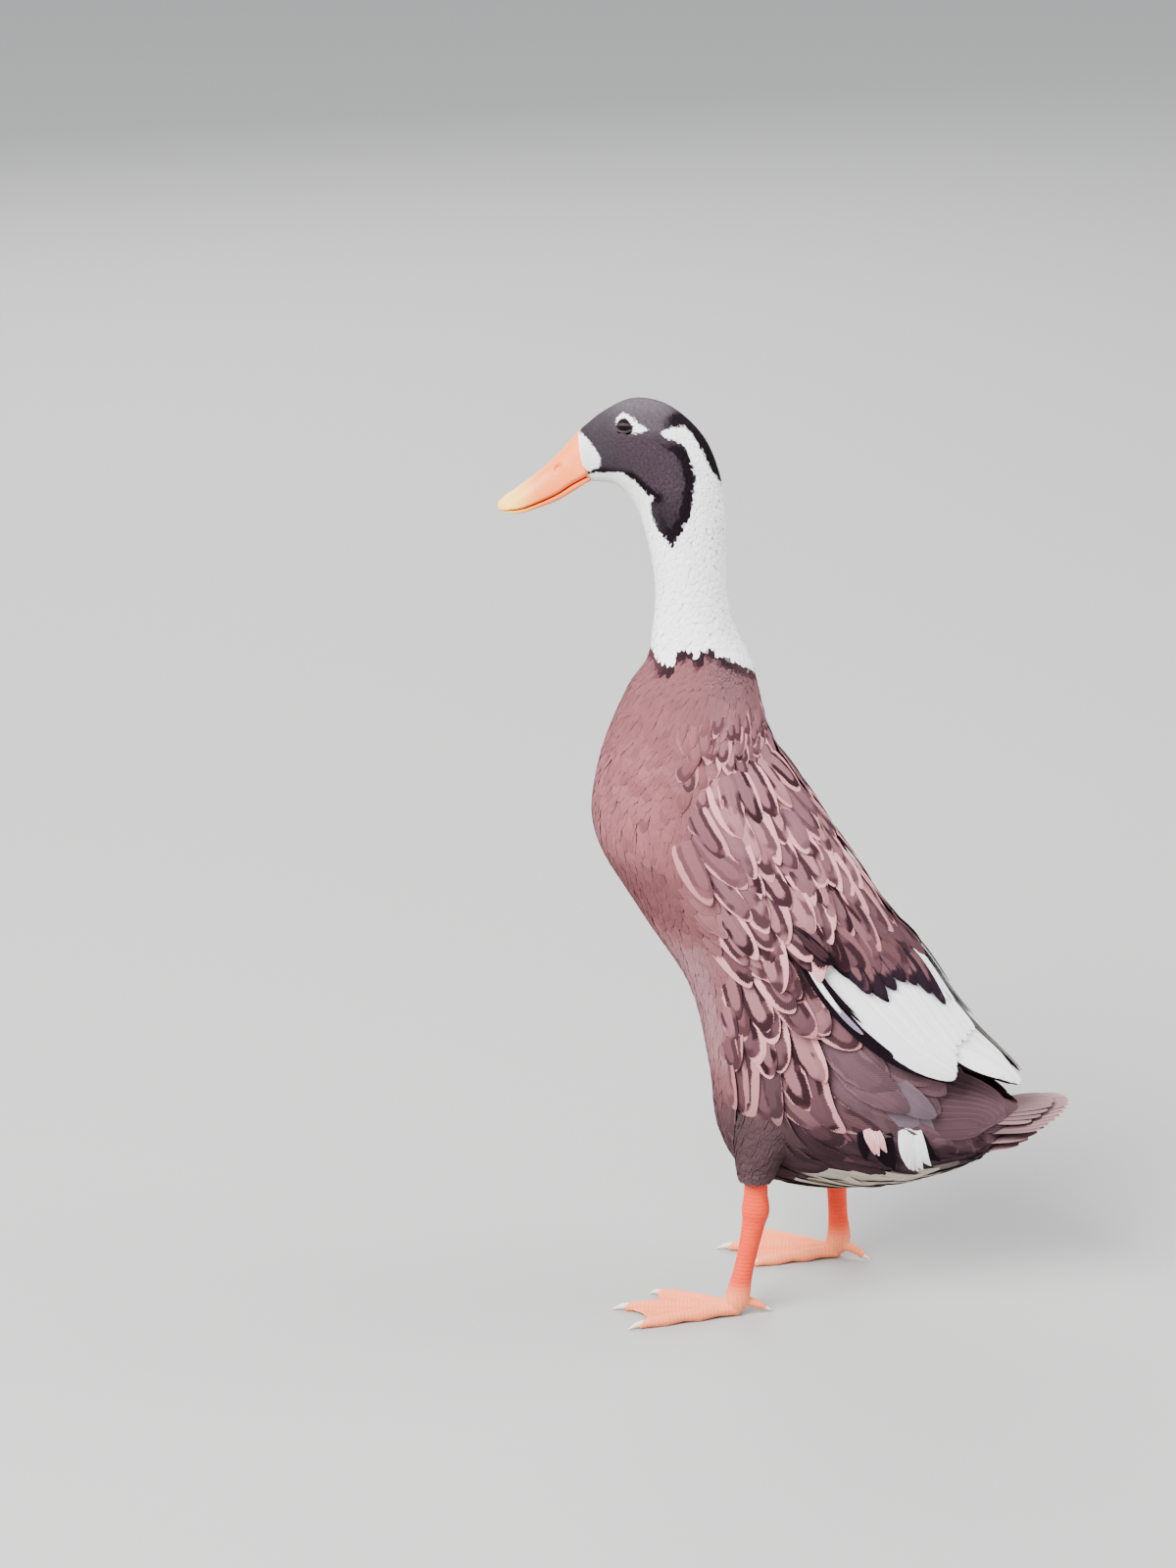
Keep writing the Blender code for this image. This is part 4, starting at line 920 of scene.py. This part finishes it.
tail_fan = fan("tail_fan", 14, 24, 18, 79.0, (0.0, 2.0), 7.6, TAIL_TONE * 1.2, TAIL_TONE)
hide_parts("tail")
fan("tail_upper_coverts", 9, 21, 10, 70, (8.5, 5.0), 7.6, TAIL_TONE * 1.1, TAIL_TONE * 0.85)
fan("tail_under_coverts", 9, 21, 12, 68, (-7.0, -6.0), 7.6, TAIL_TONE * 1.3, TAIL_TONE * 1.1)
fan("tail_low_coverts", 7, 18, 4, 60, (-13.0, -12.0), 8.0, TAIL_TONE * 1.3, TAIL_TONE * 1.1)


# Bill. Horn over bone in two halves, high at the forehead and flat and broad at the tip, which ends
# in a paler nail. The nostrils open high on the sides near the base.
BILL_ROWS = np.array([  # top (y, z), mouth (y, z), floor (y, z), half width
    (-127, 548, -122, 521.3, -121.2, 518.2, 11.6),
    (-134, 539.5, -130.2, 516.4, -129, 512.5, 10.4),
    (-143, 529.5, -138.5, 510.6, -137.5, 507, 10.0),
    (-153, 520.5, -148.6, 505.6, -148, 502.4, 10.6),
    (-163, 512.5, -159.6, 501.3, -159, 498.6, 11.4),
    (-171, 506, -169.5, 499.6, -167, 497.6, 9.8),
    (-175.2, 502.2, -174.6, 498.8, -170, 498.2, 4.5),
], float)
NOSTRIL = np.array((-138.6, 526.5))


def signed_power(v, p):
    """|v|^p with the sign of v."""
    return np.sign(v) * np.abs(v) ** p


def bill_half(upper, rows=90, around=72):
    """Rings from the base to the tip: an arch over the mouth line above, a shallow tray below."""
    at, a = round_grid(0, len(BILL_ROWS) - 1, rows, around)
    row = read_rows(BILL_ROWS, at)
    far = row[..., 0:2] if upper else row[..., 4:6]
    mouth = row[..., 2:4]
    height, across = np.cos(a), np.sin(a)
    flat = np.minimum(at / 3.5, 1)
    if upper:
        over = height > 0
        tall = np.where(over, 0.16 + 0.84 * np.abs(height) ** (1.55 - 0.55 * flat), 0.16 * (1 + height))
        reach = np.where(over, signed_power(across, 1.15 - 0.45 * flat), signed_power(across, 0.6))
    else:
        tall = np.where(height < 0, 0.12 + 0.88 * np.abs(height) ** 0.7, 0.12 * (1 - height))
        reach = signed_power(across, 0.6) * 0.93
    spot = mouth + (far - mouth) * tall[..., None]
    if not upper:
        spot = spot + unit(far - mouth) * 0.25
    points = np.stack([row[..., 6] * reach, spot[..., 0], spot[..., 1]], -1)
    side = np.sign(points[..., 0])
    if upper:
        off = points[..., 1:] - NOSTRIL
        off = np.linalg.norm(np.stack([off @ (-0.72, -0.69), off @ (-0.69, 0.72)], -1) / (3.6, 1.7), axis=-1)
        dent = ease(1.15, 0.35, off)
        points[..., 0] += side * (0.35 * ease(1.9, 1.2, off) * (1 - dent) - 2.0 * dent)
        nail = ease(5.2, 3.0, np.hypot(points[..., 0], (points[..., 1] + 171.5) * 0.95)) * over
        points[..., 2] += 0.55 * nail
        combs = ease(0.30, 0.05, tall) * over * ease(1.2, 2.0, at) * ease(5.6, 5.0, at)
        points[..., 0] += side * 0.22 * combs * np.sin(at * 52)
    return points, at


horn, horn_tree, horn_shader = new_material("bill_horn", 0.42, specular=0.3)
horn_place = place_node(horn_tree)
horn_base = mix_node(horn_tree, noise_node(horn_tree, horn_place, 160.0, 4.0), (0.80, 0.14, 0.026),
                     (0.94, 0.25, 0.056))
horn_tip = ramp_node(horn_tree, split_node(horn_tree, horn_place)[1], -0.146, -0.172)
horn_base = mix_node(horn_tree, horn_tip, horn_base, (1.0, 0.60, 0.10))
horn_speck = ramp_node(horn_tree, noise_node(horn_tree, horn_place, 420.0, 2.0), 0.62, 0.74)
horn_speck = math_node(horn_tree, "MULTIPLY", horn_speck, 0.25)
horn_base = mix_node(horn_tree, horn_speck, horn_base, (0.35, 0.16, 0.06))
horn_tree.links.new(horn_base, horn_shader.inputs["Base Color"])
bump_to(horn_tree, horn_shader, noise_node(horn_tree, horn_place, 600.0, 4.0), 0.25, 0.0003)

for upper, name in ((True, "bill_upper"), (False, "bill_lower")):
    points, at = bill_half(upper)
    points[0] += np.array((0, 2.2, 1.0))
    half_bill = add_mesh(name + "_horn", points.reshape(-1, 3),
                         [f[:, ::-1] for f in tube_faces(*at.shape)], horn)
    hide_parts(name)


# Eyes. A dark brown iris behind a wet cornea, held by two thin grey lids.
IRIS_MIDDLE = (EYE_PLACE + (0, -0.9, 0.6)) * 0.001
eye_wet, eye_tree, eye_shader = new_material("wet_eye", 0.05, specular=0.06)
lid_skin, lid_tree, lid_shader = new_material("lid_skin", 0.6, specular=0.1)
lid_tone = mix_node(lid_tree, noise_node(lid_tree, place_node(lid_tree), 900.0), (0.020, 0.014, 0.018),
                    (0.045, 0.034, 0.038))
lid_tree.links.new(lid_tone, lid_shader.inputs["Base Color"])
eye_split = split_node(eye_tree, place_node(eye_tree))
eye_y, eye_z = (math_node(eye_tree, "ADD", eye_split[k], -float(IRIS_MIDDLE[k])) for k in (1, 2))
eye_squares = (math_node(eye_tree, "MULTIPLY", value, value) for value in (eye_y, eye_z))
eye_off = math_node(eye_tree, "SQRT", math_node(eye_tree, "ADD", *eye_squares))
iris = mix_node(eye_tree, ramp_node(eye_tree, eye_off, 0.0020, 0.0023), (0.003,) * 3, (0.009, 0.005, 0.004))
iris = mix_node(eye_tree, ramp_node(eye_tree, eye_off, 0.0037, 0.0042), iris, (0.010, 0.007, 0.006))
eye_tree.links.new(iris, eye_shader.inputs["Base Color"])
EYE_AXIS = unit(EYE_RIM - EYE_PLACE + (0, -0.5, 0.3))


def eyeball(side, rows=40, around=48):
    """A ball whose front bulges a little as the cornea: r (1 + 0.06 exp(-(angle / 0.6)^2))."""
    a, b = round_grid(0.02, np.pi - 0.02, rows, around)
    axis = EYE_AXIS * (side, 1, 1)
    up = unit(np.cross(axis, (0, 1, 0)))
    across = np.cross(up, axis)
    radius = 5.5 * (1 + 0.06 * np.exp(-(a / 0.6) ** 2))
    spoke = up * np.cos(b)[..., None] + across * np.sin(b)[..., None]
    way = axis * np.cos(a)[..., None] + spoke * np.sin(a)[..., None]
    return EYE_PLACE * (side, 1, 1) + way * radius[..., None]


def lid_ring(side, around=72, rows=14):
    """An almond ring of skin: a thin roll whose opening is wider than high, drawn back to a corner."""
    a, b = round_grid(0, 2 * np.pi * (1 - 1 / around), around, rows)
    axis = EYE_AXIS * (side, 1, 1)
    ahead = unit(np.array((0, -1.0, 0)) - axis * (axis @ (0, -1.0, 0)))
    up = unit(np.cross(axis, ahead)) * side * -1
    up = up * np.sign(up[2])
    wide, high = np.cos(a), np.sin(a)
    reach_a = 4.6 * wide - 0.6 * np.maximum(-wide, 0) ** 3
    reach_b = 2.1 * signed_power(high, 1.1)
    spot = EYE_PLACE * (side, 1, 1) + ahead * reach_a[..., None] + up * reach_b[..., None]
    off = np.hypot(reach_a, reach_b)
    spot = spot + axis * (np.sqrt(np.maximum(5.6**2 - off**2, 0.5)) + 0.15)[..., None]
    spoke = unit(ahead * (wide * 4.6)[..., None] + up * (high * 2.9)[..., None])
    return spot + spoke * (1.0 * np.cos(b))[..., None] + axis * (0.55 * np.sin(b) - 0.15)[..., None]


for side, tag in ((1, "left"), (-1, "right")):
    points = eyeball(side)
    ball = add_mesh(f"eyeball_{tag}", points.reshape(-1, 3),
                    tube_faces(*points.shape[:2]), eye_wet)
    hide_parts(f"eye_{tag}")
    points = lid_ring(side)
    around, rows = points.shape[:2]
    joined = grid_faces(around + 1, rows) % (around * rows)
    lids = add_mesh(f"lids_{tag}", points.reshape(-1, 3), [joined[:, ::side]], lid_skin)


# Legs and feet. Bare salmon orange skin over bone: ring scales down the front of the shank and the
# toes, small round ones elsewhere, and webs between the three front toes. Claws are pale horn.
FOOT_X, THIGH_END = 46.0, 92.0
HOCK_Y, ANKLE_Y = {"left": -13.0, "right": 30.0}, {"left": -23.0, "right": 33.0}
TOES = ((62, -22, 4.6), (78, 2, 5.0), (72, 25, 4.6))
TOE_SHAPE = np.array([
    (0.0, 1.0, 4.6), (0.2, 0.78, 4.6), (0.36, 0.95, 3.9), (0.5, 0.72, 4.3),
    (0.66, 0.84, 3.4), (0.82, 0.62, 3.2), (0.92, 0.44, 1.9), (1.0, 0.12, 0.9),
])


def tube(places, radii, rings, around=28, squash=1.0):
    """Points of a limb: round sections of radii along a curve through places, narrowed in X by squash."""
    at = np.linspace(0, len(places) - 1, rings)
    line = read_rows(np.asarray(places, float), at)
    radius = read_rows(np.asarray(radii, float)[:, None], at)
    along = unit(np.gradient(line, axis=0))
    level = np.where(np.abs(along[:, 2:]) < 0.8, np.array((0, 0, 1.0)), np.array((0, 1.0, 0)))
    side = unit(np.cross(along, level))
    up = np.cross(side, along)
    a = np.arange(around) / around * 2 * np.pi
    return (line[:, None] + side[:, None] * (np.cos(a) * squash)[None, :, None] * radius[:, None]
            + up[:, None] * np.sin(a)[None, :, None] * radius[:, None])


def thigh_surface(side, tag):
    """The feathered thigh as a surface from its end at the hock, at 0, up into the body, at 4."""
    y = HOCK_Y[tag]
    table = np.array([
        (FOOT_X, y, THIGH_END - 1, 10.3), (FOOT_X - 1, y + 1, 103, 13.7), (FOOT_X - 7, y + 5, 116, 18.8),
        (FOOT_X - 15, y + 9, 131, 23), (FOOT_X - 30, y + 14, 152, 24),
    ], float)

    def surface(at, turn, lift=0.0):
        row = read_rows(table, at)
        radius = row[..., 3] + lift
        return np.stack([side * (row[..., 0] + radius * np.sin(turn)), row[..., 1] - radius * np.cos(turn),
                         row[..., 2]], -1)

    return surface


def thigh_paint(spot, at, turn):
    """Plain grey feathers, lighter towards the hock."""
    base = mix(np.broadcast_to(BELLY_GREY * 1.5, spot.shape), BELLY_GREY, ease(0.2, 1.4, at))
    return base * 1.25, base * 0.8, base


def scale_attributes(points, tag, side):
    """How far along its limb each place lies, and which way its ring scales run, as two values."""
    x, y, z = points.T
    x = x * side
    out = np.full(len(points), 1e9)
    run = z / 2.6
    best = np.where(z > 17, 0.0, 1e9)
    for length, degrees, radius in TOES:
        angle = math.radians(degrees)
        dx, dy = x - FOOT_X, y - ANKLE_Y[tag]
        forward = dx * math.sin(angle) - dy * math.cos(angle)
        off = np.abs(dx * math.cos(angle) + dy * math.sin(angle))
        nearer = (off < best) & (z < 17)
        best = np.where(nearer, off, best)
        run = np.where(nearer, forward / 2.4, run)
        out = np.minimum(out, off)
    web = ease(4.0, 6.0, np.where(z < 14, out, 0))
    return np.stack([run, web, np.zeros(len(run))], 1)


leg_skin, leg_tree, leg_shader = new_material("leg_skin", 0.5, specular=0.2)
leg_place = place_node(leg_tree)
leg_scales = leg_tree.nodes.new("ShaderNodeSeparateColor")
leg_tree.links.new(read_colour(leg_tree, "scales"), leg_scales.inputs[0])
leg_wave = math_node(leg_tree, "FRACT", leg_scales.outputs[0])
leg_groove = math_node(leg_tree, "ABSOLUTE", math_node(leg_tree, "MULTIPLY_ADD", leg_wave, 2.0, -1.0))
leg_ring = ramp_node(leg_tree, leg_groove, 1.0, 0.72)
leg_cells = leg_tree.nodes.new("ShaderNodeTexVoronoi")
leg_cells.feature = "DISTANCE_TO_EDGE"
leg_cells.inputs["Scale"].default_value = 800.0
leg_tree.links.new(leg_place, leg_cells.inputs["Vector"])
leg_cell = ramp_node(leg_tree, leg_cells.outputs["Distance"], 0.0, 0.12)
leg_height = mix_node(leg_tree, leg_scales.outputs[1], leg_ring, leg_cell)
leg_height = mix_node(leg_tree, 0.35, leg_height, leg_cell)
leg_tone = mix_node(leg_tree, noise_node(leg_tree, leg_place, 130.0, 4.0), (0.70, 0.036, 0.010),
                    (0.86, 0.072, 0.020))
leg_low = ramp_node(leg_tree, split_node(leg_tree, leg_place)[2], 0.026, 0.012)
leg_tone = mix_node(leg_tree, math_node(leg_tree, "MULTIPLY", leg_low, 0.8), leg_tone, (0.95, 0.30, 0.13))
leg_dark = mix_node(leg_tree, leg_height, (0.62, 0.30, 0.2), (1.0, 1.0, 1.0))
leg_tone = mix_node(leg_tree, 0.55, leg_tone, leg_dark, "MULTIPLY")
leg_tree.links.new(leg_tone, leg_shader.inputs["Base Color"])
bump_to(leg_tree, leg_shader, leg_height, 0.55, 0.0005)
claw_horn, claw_tree, claw_shader = new_material("claw_horn", 0.35)
claw_tone = mix_node(claw_tree, noise_node(claw_tree, place_node(claw_tree), 500.0), (0.62, 0.46, 0.33),
                     (0.80, 0.68, 0.55))
claw_tree.links.new(claw_tone, claw_shader.inputs["Base Color"])


def toe_line(length, degrees, share, tag, side):
    """Places along a toe in the frame, at heights read from its shape."""
    angle = math.radians(degrees)
    height = np.interp(share, TOE_SHAPE[:, 0], TOE_SHAPE[:, 2])
    return np.stack([side * (FOOT_X + np.sin(angle) * length * share),
                     ANKLE_Y[tag] - np.cos(angle) * length * share, height], -1)


def web_shell(inner, outer, tag, side, rows=26, columns=22):
    """The skin between two toes: it sags in ripples, and its free edge curves in between the claws."""
    share, across = np.meshgrid(0.05 + 0.85 * np.linspace(0, 1, rows), np.linspace(0, 1, columns),
                                indexing="ij")
    inset = 1 - 0.15 * share * np.sin(np.pi * across)
    a = toe_line(inner[0], inner[1], share * inset, tag, side)
    b = toe_line(outer[0], outer[1], share * inset, tag, side)
    middle = a + (b - a) * across[..., None]
    middle[..., 2] = np.maximum(middle[..., 2] - 1.5 * np.sin(np.pi * across), 0.75)
    middle[..., 2] += 0.22 * np.sin(across * 26) * share
    shell = np.concatenate([(middle + (0, 0, half)).reshape(-1, 3) for half in (0.62, -0.62)])
    return shell, shell_faces(rows, columns)


for side, tag in ((1, "left"), (-1, "right")):
    hock, ankle = HOCK_Y[tag], ANKLE_Y[tag]
    x, lean = side * FOOT_X, ankle - hock
    shapes = [
        tube([(x, hock, 104), (x, hock, 92), (x, hock, 81), (x, hock, 71), (x, hock + lean * 0.12, 62),
              (x, hock + lean * 0.4, 46),
              (x, hock + lean * 0.75, 28), (x, ankle, 15), (x, ankle - 2, 7), (x, ankle - 3, 4)],
             (5.5, 7.0, 7.4, 8.6, 7.2, 6.2, 6.2, 7.4, 7.2, 4.0), 96, 32, 0.82),
        tube([(x - 1.5 * side, ankle + 3, 9.5), (x - 3 * side, ankle + 11, 6.6),
              (x - 4.5 * side, ankle + 16, 3.6)],
             (3.4, 2.7, 1.9), 26, 20),
    ]
    claws = [tube([(x - 4.2 * side, ankle + 15, 4.0), (x - 4.9 * side, ankle + 18.4, 2.6),
                   (x - 5.2 * side, ankle + 20.6, 0.7)],
                  (1.5, 1.0, 0.15), 16, 14)]
    for length, degrees, radius in TOES:
        fine = np.linspace(0, 0.9, 44)
        line = toe_line(length, degrees, fine, tag, side)
        thick = np.interp(fine, TOE_SHAPE[:, 0], TOE_SHAPE[:, 1]) * radius
        line[:, 2] = np.maximum(line[:, 2], thick * 0.8)
        shapes.append(tube(line, thick, 60, 24))
        tip = toe_line(length, degrees, np.array((0.86, 0.93, 1.0)), tag, side)
        tip[:, 2] = (3.1, 2.6, 0.5)
        claws.append(tube(tip, (radius * 0.46, radius * 0.32, 0.18), 20, 16))
    points, faces, start = [], [], 0
    for shape in shapes:
        rings, around = shape.shape[:2]
        points.append(shape.reshape(-1, 3))
        faces.append(grid_faces(rings, around, start=start))
        ends = start + np.stack([np.arange(around)[::-1], (rings - 1) * around + np.arange(around)])
        faces.append(np.concatenate([ends[:, [0, k, k + 1]] for k in range(1, around - 1)]))
        start += rings * around
    for inner, outer in zip(TOES, TOES[1:]):
        shell, web_faces = web_shell(inner, outer, tag, side)
        points.append(shell)
        faces.append((web_faces + start)[:, ::side])
        start += len(shell)
    raw = bpy.data.meshes.new("leg_raw")
    raw.from_pydata((np.concatenate(points) * 0.001).tolist(), [],
                    [face for group in faces for face in group.tolist()])
    leg = bpy.data.objects.new(f"leg_skin_{tag}", raw)
    bpy.context.scene.collection.objects.link(leg)
    fuse = leg.modifiers.new("fuse", "REMESH")
    fuse.mode, fuse.voxel_size, fuse.use_smooth_shade = "VOXEL", 0.00062, True
    calm = leg.modifiers.new("calm", "SMOOTH")
    calm.iterations, calm.factor = 3, 0.5
    graph = bpy.context.evaluated_depsgraph_get()
    fused = bpy.data.meshes.new_from_object(leg.evaluated_get(graph))
    leg.modifiers.clear()
    leg.data = fused
    spots = np.empty(len(fused.vertices) * 3, np.float32)
    fused.vertices.foreach_get("co", spots)
    spots = spots.reshape(-1, 3)
    spots[:, 2] = np.maximum(spots[:, 2], 0)
    fused.vertices.foreach_set("co", spots.ravel())
    values = np.concatenate([scale_attributes(spots * 1000, tag, side), np.ones((len(spots), 1))], 1)
    scales = fused.attributes.new("scales", "FLOAT_COLOR", "POINT")
    scales.data.foreach_set("color", values.astype(np.float32).ravel())
    fused.materials.clear()
    fused.materials.append(leg_skin)
    fused.shade_smooth()
    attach(leg, "root")
    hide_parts(f"leg_{tag}", f"foot_{tag}")
    points, faces, start = [], [], 0
    for claw in claws:
        points.append(claw.reshape(-1, 3))
        faces += [f[:, ::-1] for f in tube_faces(*claw.shape[:2], start)]
        start += len(points[-1])
    claw_piece = add_mesh(f"claws_{tag}", np.concatenate(points), faces, claw_horn)
    surface = thigh_surface(side, tag)
    at, turn = round_grid(0, 4, 60, 48)
    points = surface(at, turn, -1.5).reshape(-1, 3)
    tone = thigh_paint(points, at.ravel(), turn.ravel())[2]
    thigh = add_mesh(f"thigh_skin_{tag}", points, [f[:, ::side] for f in tube_faces(*at.shape)], skin_paint,
                     {"OFBake": np.stack([turn.ravel() / 6.2832, at.ravel() / 4], 1)}, {"edge": tone})
    at, turn = spread_rows(surface, 3.4, 0.08, flat(3.6), flat(3.4))
    coat_piece(f"thigh_coat_{tag}", surface, at, turn, np.interp(at, (0, 1, 3.4), (6, 11, 18)),
               np.interp(at, (0, 1, 3.4), (1.7, 2.6, 4.2)), 0.0, (-1.8, 0.3), BLADE_STEPS, plume_fine,
               thigh_paint, thick=0.2, patch=0.01, spans=(0, 3.6))


# Studio. A pale floor that the duck stands on, soft lights, and the camera where the picture was
# taken from: 3 m away on the duck's left, looking down at it by 20 degrees.
floor_paint, _, floor_shader = new_material("studio_floor", 0.8)
floor_shader.inputs["Base Color"].default_value = (0.33, 0.328, 0.32, 1)
bpy.ops.mesh.primitive_plane_add(size=14)
floor = bpy.context.object
floor.name = "studio_floor"
floor.data.materials.append(floor_paint)


def lamp(name, place, aim, size, watts):
    """A square area light at a place, aimed at another."""
    light = bpy.data.lights.new(name, "AREA")
    light.size, light.energy = size, watts
    made = bpy.data.objects.new(name, light)
    made.location = place
    way = np.asarray(aim, float) - place
    made.rotation_euler = Vector(way).to_track_quat("-Z", "Y").to_euler()
    bpy.context.scene.collection.objects.link(made)


lamp("key_light", (2.0, -1.4, 2.6), (0, 0, 0.3), 2.0, 430)
lamp("fill_light", (-2.4, -1.0, 1.8), (0, 0, 0.3), 2.4, 90)
lamp("back_light", (-0.6, 2.6, 2.2), (0, 0, 0.3), 2.0, 120)
world = bpy.data.worlds.new("studio_air")
world.use_nodes = True
world.node_tree.nodes["Background"].inputs["Color"].default_value = (0.93, 0.95, 1.0, 1)
world.node_tree.nodes["Background"].inputs["Strength"].default_value = 1.1
bpy.context.scene.world = world

lens = bpy.data.cameras.new("camera")
lens.lens, lens.sensor_width = 113.44, 36.0
lens.clip_start, lens.clip_end = 0.05, 50
camera = bpy.data.objects.new("camera", lens)
camera.location = (2.81221, 0.19665, 1.30906)
way = Vector((-0.93872308, -0.10617978, -0.32790981))
camera.rotation_euler = way.to_track_quat("-Z", "Y").to_euler()
bpy.context.scene.collection.objects.link(camera)
bpy.context.scene.camera = camera
